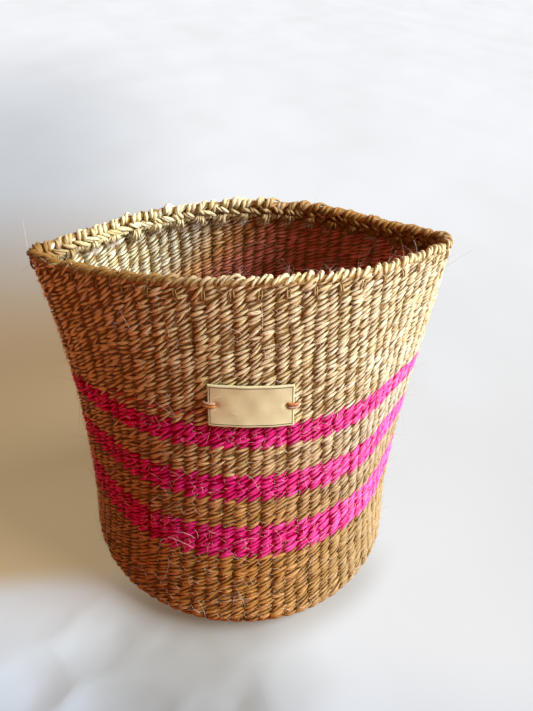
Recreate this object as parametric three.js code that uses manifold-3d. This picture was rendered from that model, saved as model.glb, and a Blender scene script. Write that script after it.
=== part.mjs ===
// A woven sisal storage basket: a soft round tub whose mouth is pinched into a pointed oval.
// Twined weft rows wrap 76 upright warps, three dyed stripes ring the wall, the warp ends turn
// over in a looped border, and a bare leather label hangs on two stitches.
// Millimetres, +Z up, origin at the middle of the underside, long way of the mouth along X.

import * as THREE from "three";
import { mergeVertices } from "three/addons/utils/BufferGeometryUtils.js";
import Module from "manifold-3d";

// The tub's shape
const CORNER_HEIGHT = 230;
const BASE_DIAMETER = 218;
const WAIST_LENGTH = 200;
const MOUTH_LENGTH = 260;
const MOUTH_WIDTH = 114;
const RIM_RISE = 5.5;
const PINCH_FADE = 0.87;
const HEEL_RADIUS = 12;
const WALL_THICKNESS = 5.5;

// The two pinched corners and the creases that run down from them
const CORNER_LENGTH = 25;
const CORNER_SPREAD = 0.42;
const CREASE_TIGHTENING_RATIO = 0.5;
const LEFT_CREASE_FADE = 1.0;
const RIGHT_CREASE_FADE = 0.6;
const RIGHT_CREASE_SWELL_RATIO = 0.15;

// The weave: upright ribs round the tub, weft rows up it
const RIB_COUNT = 76;
const RIB_DEPTH = 1.0;
const WEFT_GAP = 0.3;

// Rows of each band from the floor up
const LOWER_NATURAL_ROW_COUNT = 21;
const LOWER_STRIPE_ROW_COUNT = 8;
const LOWER_GAP_ROW_COUNT = 7;
const MIDDLE_STRIPE_ROW_COUNT = 6;
const UPPER_GAP_ROW_COUNT = 6;
const UPPER_STRIPE_ROW_COUNT = 5;
const UPPER_NATURAL_ROW_COUNT = 30;

// The single dyed row laid for a short way to the left of the label
const PLAIN_ROW_COUNT = 2;
const SHORT_ROW_LENGTH = 70;
const SHORT_ROW_TO_LABEL = 5;
const SHORT_ROW_DEPTH = 1.5;

// The border of turned-over warps, the braid inside it and the tucked ends below it
const BORDER_HEIGHT = 5.9;
const BORDER_OVERHANG = 1.2;
const BORDER_SHOULDER = 2.4;
const BORDER_LOOP_DEPTH = 1.1;
const BRAID_HEIGHT = 10;
const BRAID_THICKNESS = 1.8;
const BRAID_PLAIT_DEPTH = 0.6;
const TUCK_LENGTH = 6;
const TUCK_WIDTH = 2.6;
const TUCK_THICKNESS = 1.8;
const RIBS_PER_TUCK = 2;

// The base
const KNOT_DIAMETER = 30;
const INNER_ROUNDS_DIAMETER = 120;
const BASE_RIB_DEPTH = 0.8;

// The label and its two stitches
const LABEL_WIDTH = 50;
const LABEL_HEIGHT = 25;
const LABEL_THICKNESS = 1.6;
const LABEL_OFFSET = -10.5;
const LABEL_ABOVE_STRIPE = 4.4;
const THREAD_DIAMETER = 1.4;
const THREAD_CLEARANCE = 0.35;
const STITCH_INSIDE_EDGE = 4.2;
const STITCH_OUTSIDE_EDGE = 2.4;
const SEAT_GAP = 0.3;

// Levels worked out from the rows, which share the height below the border
const LOWER_STRIPE_START = LOWER_NATURAL_ROW_COUNT;
const LOWER_GAP_START = LOWER_STRIPE_START + LOWER_STRIPE_ROW_COUNT;
const MIDDLE_STRIPE_START = LOWER_GAP_START + LOWER_GAP_ROW_COUNT;
const UPPER_GAP_START = MIDDLE_STRIPE_START + MIDDLE_STRIPE_ROW_COUNT;
const UPPER_STRIPE_START = UPPER_GAP_START + UPPER_GAP_ROW_COUNT;
const UPPER_NATURAL_START = UPPER_STRIPE_START + UPPER_STRIPE_ROW_COUNT;
const TOP_ROW = UPPER_NATURAL_START + UPPER_NATURAL_ROW_COUNT;
const BORDER_SEAT = CORNER_HEIGHT - BORDER_HEIGHT;
const ROW_PITCH = BORDER_SEAT / TOP_ROW;
const rowLevel = (rows) => rows * ROW_PITCH;

// A short step along the wall, to find its directions
const PROBE = 1;

// Facets
const OUTER_POINTS = 2 * RIB_COUNT;
const STATIONS_PER_LOOP = 3;
const LOOP_STATIONS = STATIONS_PER_LOOP * RIB_COUNT;
const ARC_SAMPLES = 720;
const HEEL_OUTER_STEPS = 3;
const HEEL_INNER_STEPS = 2;

const FULL_TURN = 2 * Math.PI;
const FRONT_RATIO = 0.75;

function lerp(from, to, share) {
  return from + (to - from) * share;
}

// A smooth value through a start, a middle and an end
function throughThree(start, middle, end, share) {
  const rest = 1 - share;
  return start * rest * (1 - 2 * share) + 4 * middle * share * rest + end * share * (2 * share - 1);
}

// How far a level has climbed from the round heel to the rim's corners
function climbed(level) {
  return Math.max(level - HEEL_RADIUS, 0) / (CORNER_HEIGHT - HEEL_RADIUS);
}

// The tub's outline at a level: an oval, with a smooth bump at each pinched corner
function outlinePoint(level, angle) {
  const share = climbed(level);
  const mouthHalf = MOUTH_LENGTH / 2 - CORNER_LENGTH;
  const halfLength = throughThree(BASE_DIAMETER / 2, WAIST_LENGTH / 2, mouthHalf, share);
  const halfWidth = lerp(BASE_DIAMETER / 2, MOUTH_WIDTH / 2, share ** PINCH_FADE);
  const spread = CORNER_SPREAD * Math.exp(-CREASE_TIGHTENING_RATIO * (1 - share));
  const offCorner = Math.asin(Math.min(Math.abs(Math.sin(angle)), 1));
  const bump = CORNER_LENGTH * Math.exp(-((offCorner / spread) ** 2));
  const swell = RIGHT_CREASE_SWELL_RATIO * (27 / 4) * share ** 2 * (1 - share);
  const right = share ** RIGHT_CREASE_FADE + swell;
  const fade = Math.cos(angle) < 0 ? -(share ** LEFT_CREASE_FADE) : right;
  const x = halfLength * Math.cos(angle) + fade * bump;
  return new THREE.Vector2(x, halfWidth * Math.sin(angle));
}

// Distances along the outline, kept for each level
const measured = new Map();

function measureOutline(level) {
  if (!measured.has(level)) {
    const along = [0];
    for (let i = 1; i <= ARC_SAMPLES; i += 1) {
      const before = outlinePoint(level, (FULL_TURN * (i - 1)) / ARC_SAMPLES);
      const here = outlinePoint(level, (FULL_TURN * i) / ARC_SAMPLES);
      along.push(along[i - 1] + here.distanceTo(before));
    }
    measured.set(level, along);
  }
  return measured.get(level);
}

// The angle that lies a given share of the way round the outline
function angleAt(level, turn) {
  const along = measureOutline(level);
  const whole = Math.floor(turn);
  const target = (turn - whole) * along[ARC_SAMPLES];
  let low = 0;
  let high = ARC_SAMPLES;
  while (high - low > 1) {
    const middle = (low + high) >> 1;
    if (along[middle] <= target) low = middle;
    else high = middle;
  }
  const part = (target - along[low]) / (along[high] - along[low]);
  return FULL_TURN * (whole + (low + part) / ARC_SAMPLES);
}

// A point of the wall: its level, its share of the turn and its depth under the rib crests
function wallPoint(level, turn, depth) {
  const angle = angleAt(level, turn);
  const step = 0.001;
  const here = outlinePoint(level, angle);
  const along = outlinePoint(level, angle + step).sub(outlinePoint(level, angle - step)).normalize();
  const rise = RIM_RISE * climbed(level) ** 3 * Math.sin(angle) ** 2;
  return new THREE.Vector3(here.x - along.y * depth, here.y + along.x * depth, level + rise);
}

// A share of the turn, from a distance along the wall to the right of the front's middle
function turnAt(level, distance) {
  return FRONT_RATIO + distance / measureOutline(level)[ARC_SAMPLES];
}

function toGeometry(points, faces) {
  const geometry = new THREE.BufferGeometry();
  const coordinates = points.flatMap((point) => [point.x, point.y, point.z]);
  geometry.setAttribute("position", new THREE.Float32BufferAttribute(coordinates, 3));
  geometry.setIndex(faces.flat());
  geometry.computeVertexNormals();
  return geometry;
}

// A ribbed ring: outer rings have two points to a rib, inner rings have one
function ribbedRing(outerRings, innerRings) {
  const points = [...outerRings.flat(), ...innerRings.flat()];
  const faces = [];
  const outer = (ring, i) => ring * OUTER_POINTS + (i % OUTER_POINTS);
  const innerStart = outerRings.length * OUTER_POINTS;
  const inner = (ring, i) => innerStart + ring * RIB_COUNT + (i % RIB_COUNT);
  for (let ring = 0; ring + 1 < outerRings.length; ring += 1) {
    for (let i = 0; i < OUTER_POINTS; i += 1) {
      faces.push([outer(ring, i), outer(ring, i + 1), outer(ring + 1, i + 1)]);
      faces.push([outer(ring, i), outer(ring + 1, i + 1), outer(ring + 1, i)]);
    }
  }
  for (let ring = 0; ring + 1 < innerRings.length; ring += 1) {
    for (let i = 0; i < RIB_COUNT; i += 1) {
      faces.push([inner(ring, i), inner(ring + 1, i + 1), inner(ring, i + 1)]);
      faces.push([inner(ring, i), inner(ring + 1, i), inner(ring + 1, i + 1)]);
    }
  }
  const capRings = [
    [0, 0, true],
    [outerRings.length - 1, innerRings.length - 1, false],
  ];
  for (const [outerRing, innerRing, facesDown] of capRings) {
    for (let i = 0; i < RIB_COUNT; i += 1) {
      const near = inner(innerRing, i);
      const far = inner(innerRing, i + 1);
      const crest = outer(outerRing, 2 * i);
      const valley = outer(outerRing, 2 * i + 1);
      const nextCrest = outer(outerRing, 2 * i + 2);
      for (const face of [[near, crest, valley], [near, valley, far], [far, valley, nextCrest]]) {
        faces.push(facesDown ? face.reverse() : face);
      }
    }
  }
  return toGeometry(points, faces);
}

function outerRing(level, depthAt) {
  return Array.from({ length: OUTER_POINTS }, (_, i) => wallPoint(level, i / OUTER_POINTS, depthAt(i)));
}

function innerRing(level, depth) {
  return Array.from({ length: RIB_COUNT }, (_, i) => wallPoint(level, i / RIB_COUNT, depth));
}

const ribDepth = (i) => (i % 2 ? RIB_DEPTH : 0);

// A band of weft rows between two levels, with half a gap left at each end
function weftBand(low, high, steps) {
  const levels = Array.from({ length: steps + 1 }, (_, i) => {
    return lerp(low + WEFT_GAP / 2, high - WEFT_GAP / 2, i / steps);
  });
  return ribbedRing(
    levels.map((level) => outerRing(level, ribDepth)),
    levels.map((level) => innerRing(level, WALL_THICKNESS)),
  );
}

// The rounded turn from the base into the wall: its ribs fade out on the underside
function heelTurn() {
  const innerRadius = HEEL_RADIUS - WALL_THICKNESS;
  const topLevel = HEEL_RADIUS - WEFT_GAP / 2;
  const outer = [];
  for (let i = 0; i <= HEEL_OUTER_STEPS; i += 1) {
    const turned = ((Math.PI / 2) * i) / HEEL_OUTER_STEPS;
    const level = Math.min(HEEL_RADIUS * (1 - Math.cos(turned)), topLevel);
    const curve = HEEL_RADIUS * (1 - Math.sin(turned));
    outer.push(outerRing(level, (point) => curve + ribDepth(point) * Math.sin(turned)));
  }
  const inner = [];
  for (let i = 0; i <= HEEL_INNER_STEPS; i += 1) {
    const turned = ((Math.PI / 2) * i) / HEEL_INNER_STEPS;
    const level = Math.min(HEEL_RADIUS - innerRadius * Math.cos(turned), topLevel);
    inner.push(innerRing(level, HEEL_RADIUS - innerRadius * Math.sin(turned)));
  }
  return ribbedRing(outer, inner);
}

// A section carried along stations: closed into a ring, or capped at both ends
function sweptSection(stations, sides, closed, pointAt) {
  const points = [];
  const faces = [];
  for (let station = 0; station < stations; station += 1) {
    for (let side = 0; side < sides; side += 1) points.push(pointAt(station, side));
  }
  const index = (station, side) => (station % stations) * sides + (side % sides);
  const spans = closed ? stations : stations - 1;
  for (let station = 0; station < spans; station += 1) {
    for (let side = 0; side < sides; side += 1) {
      faces.push([index(station, side), index(station + 1, side), index(station + 1, side + 1)]);
      faces.push([index(station, side), index(station + 1, side + 1), index(station, side + 1)]);
    }
  }
  if (!closed) {
    for (let side = 1; side + 1 < sides; side += 1) {
      faces.push([index(0, 0), index(0, side), index(0, side + 1)]);
      faces.push([index(stations - 1, 0), index(stations - 1, side + 1), index(stations - 1, side)]);
    }
  }
  return toGeometry(points, faces);
}

// A strip of wall skin between two levels and two depths, from one place on the turn to another
function wallStrip(low, high, outDepth, inDepth, start, end, stations) {
  return sweptSection(stations, 4, false, (station, side) => {
    const level = side === 1 || side === 2 ? high : low;
    const distance = lerp(start, end, station / (stations - 1));
    return wallPoint(level, turnAt(level, distance), side < 2 ? outDepth : inDepth);
  });
}

// The border: one slanted loop to a rib, over a flat seat on the top row
function borderLoops() {
  const middle = WALL_THICKNESS / 2;
  const halfWidth = WALL_THICKNESS / 2 + BORDER_OVERHANG;
  const seat = BORDER_SEAT + WEFT_GAP / 2;
  const shoulder = BORDER_SEAT + BORDER_SHOULDER;
  const sides = 5;
  return sweptSection(LOOP_STATIONS, sides, true, (station, side) => {
    const turn = station / LOOP_STATIONS;
    if (side === 0) return wallPoint(seat, turn, 0);
    if (side === sides - 1) return wallPoint(seat, turn, WALL_THICKNESS);
    const around = (Math.PI / 2) * (side - 1);
    const slant = (FULL_TURN * (station + side)) / STATIONS_PER_LOOP;
    const loop = BORDER_LOOP_DEPTH * (0.5 - 0.5 * Math.cos(slant));
    const depth = middle - (halfWidth - loop) * Math.cos(around);
    return wallPoint(lerp(shoulder, CORNER_HEIGHT - loop, Math.sin(around)), turn, depth);
  });
}

// The flat plait that covers the warps' turn on the inside of the top rows
function innerBraid() {
  const high = BORDER_SEAT - WEFT_GAP;
  const low = high - BRAID_HEIGHT;
  const near = WALL_THICKNESS + SEAT_GAP;
  return sweptSection(RIB_COUNT, 4, true, (station, side) => {
    const plait = station % 2 ? BRAID_PLAIT_DEPTH : 0;
    const depth = side < 2 ? near : near + BRAID_THICKNESS - plait;
    const level = side === 1 || side === 2 ? high : low;
    return wallPoint(level, station / RIB_COUNT, depth);
  });
}

// A pair of warp ends tucked down the valley between two ribs
function tuckedEnd() {
  const sides = 4;
  const rings = [
    [-0.5, 0.45],
    [-0.3, 1],
    [0.3, 1],
    [0.5, 0.45],
  ];
  return sweptSection(rings.length, sides, false, (ring, side) => {
    const [share, size] = rings[ring];
    const around = -(FULL_TURN * side) / sides;
    const across = (TUCK_WIDTH / 2) * size * Math.cos(around);
    const out = (TUCK_THICKNESS / 2) * size * Math.sin(around);
    return new THREE.Vector3(across, out, share * TUCK_LENGTH);
  });
}

// One ring of the base: flat underneath, with low spokes on top
function baseRounds(innerDiameter, outerDiameter) {
  return sweptSection(RIB_COUNT, 4, true, (station, side) => {
    const angle = (FULL_TURN * station) / RIB_COUNT;
    const spoke = station % 2 ? BASE_RIB_DEPTH : 0;
    const radius = (side < 2 ? outerDiameter : innerDiameter) / 2;
    const level = side === 1 || side === 2 ? WALL_THICKNESS - spoke : 0;
    return new THREE.Vector3(radius * Math.cos(angle), radius * Math.sin(angle), level);
  });
}

function startKnot() {
  const radius = KNOT_DIAMETER / 2;
  const dome = 0.8;
  const profile = [
    new THREE.Vector2(0, 0),
    new THREE.Vector2(radius, 0),
    new THREE.Vector2(radius, WALL_THICKNESS - dome),
    new THREE.Vector2(radius * 0.6, WALL_THICKNESS),
    new THREE.Vector2(0, WALL_THICKNESS + dome / 2),
  ];
  return new THREE.LatheGeometry(profile, RIB_COUNT / 2).rotateX(Math.PI / 2);
}

// Joining and cutting of closed solids
const solids = await Module();
solids.setup();

function toSolid(source) {
  const bare = source.clone();
  bare.deleteAttribute("normal");
  bare.deleteAttribute("uv");
  const merged = mergeVertices(bare, 1e-5);
  return new solids.Manifold(
    new solids.Mesh({
      numProp: 3,
      vertProperties: new Float32Array(merged.attributes.position.array),
      triVerts: new Uint32Array(merged.index.array),
    }),
  );
}

function cutAway(body, ...tools) {
  const result = tools.reduce((rest, tool) => rest.subtract(toSolid(tool)), toSolid(body));
  const mesh = result.getMesh();
  const geometry = new THREE.BufferGeometry();
  geometry.setAttribute("position", new THREE.BufferAttribute(mesh.vertProperties, 3));
  geometry.setIndex(new THREE.BufferAttribute(mesh.triVerts, 1));
  geometry.computeVertexNormals();
  return geometry;
}

// The short dyed row and the pocket that it lies in
const SHORT_ROW_LOW = rowLevel(UPPER_NATURAL_START + PLAIN_ROW_COUNT);
const SHORT_ROW_END = LABEL_OFFSET - LABEL_WIDTH / 2 - SHORT_ROW_TO_LABEL;
const SHORT_ROW_START = SHORT_ROW_END - SHORT_ROW_LENGTH;
const SHORT_ROW_STATIONS = 10;

function shortRow() {
  const inDepth = RIB_DEPTH + SHORT_ROW_DEPTH - SEAT_GAP;
  const low = SHORT_ROW_LOW + SEAT_GAP;
  const high = SHORT_ROW_LOW + ROW_PITCH - SEAT_GAP;
  return wallStrip(low, high, 0, inDepth, SHORT_ROW_START, SHORT_ROW_END, SHORT_ROW_STATIONS);
}

function shortRowPocket() {
  const start = SHORT_ROW_START - SEAT_GAP;
  const end = SHORT_ROW_END + SEAT_GAP;
  const inDepth = RIB_DEPTH + SHORT_ROW_DEPTH;
  const high = SHORT_ROW_LOW + ROW_PITCH;
  return wallStrip(SHORT_ROW_LOW, high, -RIB_DEPTH, inDepth, start, end, SHORT_ROW_STATIONS);
}

// The label's place on the wall
const LABEL_LOW = rowLevel(UPPER_NATURAL_START) + LABEL_ABOVE_STRIPE;
const LABEL_HIGH = LABEL_LOW + LABEL_HEIGHT;
const LABEL_MIDDLE = (LABEL_LOW + LABEL_HIGH) / 2;
const LABEL_STATIONS = 13;

// A frame on the wall: X to the right along it, Z out of it
function wallFrame(level, distance) {
  const turn = turnAt(level, distance);
  const origin = wallPoint(level, turn, 0);
  const out = wallPoint(level, turn, -PROBE).sub(origin).normalize();
  const up = wallPoint(level + PROBE, turn, 0).sub(origin).normalize();
  const right = new THREE.Vector3().crossVectors(up, out).normalize();
  const square = new THREE.Vector3().crossVectors(out, right);
  return new THREE.Matrix4().makeBasis(right, square, out).setPosition(origin);
}

const threadRadius = THREAD_DIAMETER / 2;
const stitchSpan = (STITCH_INSIDE_EDGE + STITCH_OUTSIDE_EDGE) / 2;

// Where a stitch's middle lies along the wall, left or right of the label's middle
function stitchCentre(side) {
  const fromEdge = (STITCH_OUTSIDE_EDGE - STITCH_INSIDE_EDGE) / 2;
  return LABEL_OFFSET + side * (LABEL_WIDTH / 2 + fromEdge);
}

// A stitch's arch, from the hole in the label over the edge to the wall
class StitchArch extends THREE.Curve {
  constructor(span, height) {
    super();
    this.span = span;
    this.height = height;
  }

  getPoint(share) {
    const squareness = 2 / 3;
    const angle = Math.PI * share;
    const across = Math.sign(Math.cos(angle)) * Math.abs(Math.cos(angle)) ** squareness;
    return new THREE.Vector3(-this.span * across, 0, this.height * Math.sin(angle) ** squareness);
  }
}

function stitch(side) {
  const foot = SEAT_GAP;
  const top = SEAT_GAP + LABEL_THICKNESS + THREAD_CLEARANCE + threadRadius;
  const section = new THREE.Shape();
  section.absarc(0, 0, threadRadius, 0, FULL_TURN);
  const geometry = new THREE.ExtrudeGeometry(section, {
    curveSegments: 4,
    steps: 12,
    extrudePath: new StitchArch(stitchSpan, top - foot),
  });
  geometry.translate(0, 0, foot);
  return geometry.applyMatrix4(wallFrame(LABEL_MIDDLE, stitchCentre(side)));
}

function stitchHole(side) {
  const radius = threadRadius + THREAD_CLEARANCE;
  const drill = new THREE.CylinderGeometry(radius, radius, 4 * LABEL_THICKNESS, 12).rotateX(Math.PI / 2);
  drill.translate(-side * (stitchSpan - THREAD_CLEARANCE / 2), 0, LABEL_THICKNESS);
  return drill.applyMatrix4(wallFrame(LABEL_MIDDLE, stitchCentre(side)));
}

function label() {
  const start = LABEL_OFFSET - LABEL_WIDTH / 2;
  const back = -SEAT_GAP;
  const face = back - LABEL_THICKNESS;
  const plain = wallStrip(LABEL_LOW, LABEL_HIGH, face, back, start, start + LABEL_WIDTH, LABEL_STATIONS);
  return cutAway(plain, stitchHole(-1), stitchHole(1));
}

// Materials
const natural = new THREE.MeshStandardMaterial({ color: 0xc29a5c, roughness: 0.72, metalness: 0 });
const paleNatural = new THREE.MeshStandardMaterial({ color: 0xd2b27a, roughness: 0.7, metalness: 0 });
const pink = new THREE.MeshStandardMaterial({ color: 0xd81e78, roughness: 0.68, metalness: 0 });
const leather = new THREE.MeshStandardMaterial({ color: 0xc9a266, roughness: 0.55, metalness: 0 });
const thread = new THREE.MeshStandardMaterial({ color: 0xd98324, roughness: 0.6, metalness: 0 });

const basket = new THREE.Group();

function addPiece(name, geometry, material) {
  const mesh = new THREE.Mesh(geometry, material);
  mesh.name = name;
  basket.add(mesh);
  return mesh;
}

// The base, from the middle out
const heelSeat = BASE_DIAMETER - 2 * HEEL_RADIUS;
addPiece("base_start_knot", startKnot(), natural);
addPiece("base_inner_rounds", baseRounds(KNOT_DIAMETER + 2 * WEFT_GAP, INNER_ROUNDS_DIAMETER), natural);
const outerRounds = baseRounds(INNER_ROUNDS_DIAMETER + 2 * WEFT_GAP, heelSeat - 2 * WEFT_GAP);
addPiece("base_outer_rounds", outerRounds, natural);
addPiece("heel_turn", heelTurn(), natural);

// The wall, from the heel up
const wallBands = [
  ["wall_natural_lower", HEEL_RADIUS, rowLevel(LOWER_STRIPE_START), 2, natural],
  ["stripe_pink_lower", rowLevel(LOWER_STRIPE_START), rowLevel(LOWER_GAP_START), 1, pink],
  ["wall_natural_lower_gap", rowLevel(LOWER_GAP_START), rowLevel(MIDDLE_STRIPE_START), 1, natural],
  ["stripe_pink_middle", rowLevel(MIDDLE_STRIPE_START), rowLevel(UPPER_GAP_START), 1, pink],
  ["wall_natural_upper_gap", rowLevel(UPPER_GAP_START), rowLevel(UPPER_STRIPE_START), 1, natural],
  ["stripe_pink_upper", rowLevel(UPPER_STRIPE_START), rowLevel(UPPER_NATURAL_START), 1, pink],
];
for (const [name, low, high, steps, material] of wallBands) {
  addPiece(name, weftBand(low, high, steps), material);
}
const upperWall = weftBand(rowLevel(UPPER_NATURAL_START), BORDER_SEAT, 2);
addPiece("wall_natural_upper", cutAway(upperWall, shortRowPocket()), natural);
addPiece("pink_short_row", shortRow(), pink);

// The rim
addPiece("rim_border_loops", borderLoops(), paleNatural);
addPiece("rim_inner_braid", innerBraid(), paleNatural);
const tuckLevel = BORDER_SEAT - WEFT_GAP - TUCK_LENGTH / 2;
const tuckDepth = RIB_DEPTH - SEAT_GAP - TUCK_THICKNESS / 2;
for (let rib = 0; rib < RIB_COUNT; rib += RIBS_PER_TUCK) {
  const turn = (rib + 0.5) / RIB_COUNT;
  const number = String(rib / RIBS_PER_TUCK + 1).padStart(2, "0");
  const end = addPiece(`tucked_warp_ends_${number}`, tuckedEnd(), paleNatural);
  const place = wallPoint(tuckLevel, turn, tuckDepth);
  const out = wallPoint(tuckLevel, turn, tuckDepth - PROBE).sub(place).normalize();
  const up = wallPoint(tuckLevel + PROBE, turn, tuckDepth).sub(place).normalize();
  const across = new THREE.Vector3().crossVectors(out, up).normalize();
  end.applyMatrix4(new THREE.Matrix4().makeBasis(across, new THREE.Vector3().crossVectors(up, across), up));
  end.position.copy(place);
}

// The label
addPiece("leather_label", label(), leather);
addPiece("label_stitch_left", stitch(-1), thread);
addPiece("label_stitch_right", stitch(1), thread);

export default basket;
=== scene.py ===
import math

import bpy
import numpy as np
from bpy.props import FloatProperty, FloatVectorProperty, IntProperty, PointerProperty
from mathutils import Matrix, Vector


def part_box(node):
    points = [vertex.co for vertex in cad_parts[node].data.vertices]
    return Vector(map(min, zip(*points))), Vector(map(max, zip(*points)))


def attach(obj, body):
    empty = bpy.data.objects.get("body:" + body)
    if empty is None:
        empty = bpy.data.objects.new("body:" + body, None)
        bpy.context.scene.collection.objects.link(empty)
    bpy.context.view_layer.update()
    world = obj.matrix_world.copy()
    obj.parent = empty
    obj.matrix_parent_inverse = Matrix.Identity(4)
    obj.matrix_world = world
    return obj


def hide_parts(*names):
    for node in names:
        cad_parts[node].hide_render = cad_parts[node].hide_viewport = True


bl_info = {
    "name": "Woven storage basket",
    "version": (1, 0, 0),
    "blender": (4, 5, 0),
    "location": "3D View > Sidebar > Basket",
    "description": "A soft tub of twined sisal with three dyed stripes and a leather label",
    "category": "Add Mesh",
}

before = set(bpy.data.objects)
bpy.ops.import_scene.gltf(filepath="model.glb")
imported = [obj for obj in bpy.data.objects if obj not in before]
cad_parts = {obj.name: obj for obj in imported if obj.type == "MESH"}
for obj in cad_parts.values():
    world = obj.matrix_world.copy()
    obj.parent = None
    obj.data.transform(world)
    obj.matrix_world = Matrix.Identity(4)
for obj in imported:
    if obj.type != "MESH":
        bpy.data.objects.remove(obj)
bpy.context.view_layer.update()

FULL_TURN = 2 * math.pi
QUARTER_TURN = math.pi / 2

# Share of the turn at the middle of the front
FRONT = 0.75

# Rows of weft from the heel up, counted as the CAD model counts them
STRIPE_STARTS = (21, 36, 49)
STRIPE_ENDS = (29, 42, 54)
TOP_ROW = 84
FIRST_WALL_ROW = 5
FIRST_HEEL_ROW = -1
SHORT_ROW = 56

# Sizes that the CAD's nodes show, and the rise of its rim, which no single node does
RIM_LOW, RIM_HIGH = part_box("rim_border_loops")
HEEL_LOW, HEEL_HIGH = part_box("heel_turn")
BASE_LOW, BASE_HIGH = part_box("base_outer_rounds")
RIM_RISE = 0.0055


# Settings

def length_setting(name, description, default):
    """A length in metres that a user can change."""
    return FloatProperty(
        name=name, description=description, default=default, subtype="DISTANCE", unit="LENGTH"
    )


def colour_setting(name, description, default):
    """A colour that a user can change."""
    return FloatVectorProperty(
        name=name, description=description, default=default, subtype="COLOR"
    )


class BasketSizes(bpy.types.PropertyGroup):
    """The tub's overall shape, rounded from the CAD's nodes where they show it."""

    corner_height: length_setting(
        "Corner height",
        "Height of the rim at its two pinched corners",
        round(RIM_HIGH.z, 4) - RIM_RISE,
    )
    base_diameter: length_setting(
        "Base diameter", "Width of the round base", round(HEEL_HIGH.x - HEEL_LOW.x, 4)
    )
    waist_length: length_setting(
        "Waist length", "Length of the tub half way up, without its creases", 0.200
    )
    mouth_length: length_setting(
        "Mouth length", "Length of the mouth from corner to corner", round(-2 * RIM_LOW.x, 3)
    )
    mouth_width: length_setting("Mouth width", "Width of the mouth from front to back", 0.114)
    rim_rise: length_setting("Rim rise", "How far the rim's middle stands above its corners", RIM_RISE)
    heel_radius: length_setting(
        "Heel radius", "Radius of the turn from the base into the wall", round(HEEL_HIGH.z, 3)
    )
    wall_thickness: length_setting(
        "Wall thickness", "Thickness of the twined wall", round(BASE_HIGH.z - BASE_LOW.z, 4)
    )
    corner_length: length_setting(
        "Corner length", "How far the pinched corners stand out of the oval", 0.025
    )


class WeaveSettings(bpy.types.PropertyGroup):
    """The strands and their rows."""

    rib_count: IntProperty(name="Ribs", description="Upright warps round the tub", default=76)
    row_pitch: length_setting("Row pitch", "Height of one row of weft", 0.0027)
    stitch_lean: length_setting("Stitch lean", "How far a strand climbs either side of its row", 0.0021)
    strand_height: length_setting(
        "Strand height", "Half the height of a strand at the middle of a stitch", 0.00108
    )
    strand_depth: length_setting(
        "Strand depth", "Half the thickness of a strand through the wall", 0.00105
    )
    seed: IntProperty(name="Seed", description="Start of the hand-made unevenness", default=7)


class BasketColours(bpy.types.PropertyGroup):
    """The finishes' main colours."""

    natural_pale: colour_setting("Natural, pale", "The lightest undyed sisal", (1.0, 0.98, 0.70))
    natural_deep: colour_setting("Natural, deep", "The darkest undyed sisal", (0.73, 0.58, 0.20))
    pink_pale: colour_setting("Pink, pale", "The lightest dyed sisal", (1.0, 0.085, 0.50))
    pink_deep: colour_setting("Pink, deep", "The darkest dyed sisal", (0.92, 0.005, 0.21))
    faded_pale: colour_setting("Faded pink, pale", "The lightest faded sisal", (0.72, 0.22, 0.18))
    faded_deep: colour_setting("Faded pink, deep", "The darkest faded sisal", (0.40, 0.05, 0.06))
    hair_deep: colour_setting("Hair, deep", "The darkest stray hair", (0.62, 0.45, 0.26))
    hair_pale: colour_setting("Hair, pale", "The lightest stray hair", (0.96, 0.90, 0.82))
    leather: colour_setting("Leather", "The label's face", (0.76, 0.76, 0.45))
    leather_line: colour_setting(
        "Label line", "The thin line pressed inside the label's edge", (0.05, 0.025, 0.015)
    )
    thread_orange: colour_setting("Thread, orange", "The orange sewing thread", (0.72, 0.24, 0.02))
    thread_white: colour_setting("Thread, white", "The pale sewing thread", (0.78, 0.74, 0.66))


class StageSettings(bpy.types.PropertyGroup):
    """The floor and the lights."""

    floor: colour_setting("Floor", "Colour of the pale floor and backdrop", (0.61, 0.76, 0.89))
    bounce: colour_setting(
        "Bounce", "Colour of the dim light that the floor throws back", (0.34, 0.06, 0.008)
    )
    dim: colour_setting("Dim light", "Colour of the dim light from all round", (0.26, 0.066, 0.0065))
    room: colour_setting("Room", "Colour that the camera sees past the backdrop", (0.84, 0.88, 0.90))
    key_strength: FloatProperty(
        name="Window strength",
        description="Strength of the soft cool light from the right",
        default=7.0,
    )


# The tub's surface

def matched(*values):
    """The values as arrays of one shape."""
    return np.broadcast_arrays(*(np.asarray(value, float) for value in values))


def unit(direction):
    """Directions brought to length 1."""
    return direction / np.linalg.norm(direction, axis=-1, keepdims=True)


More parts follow.
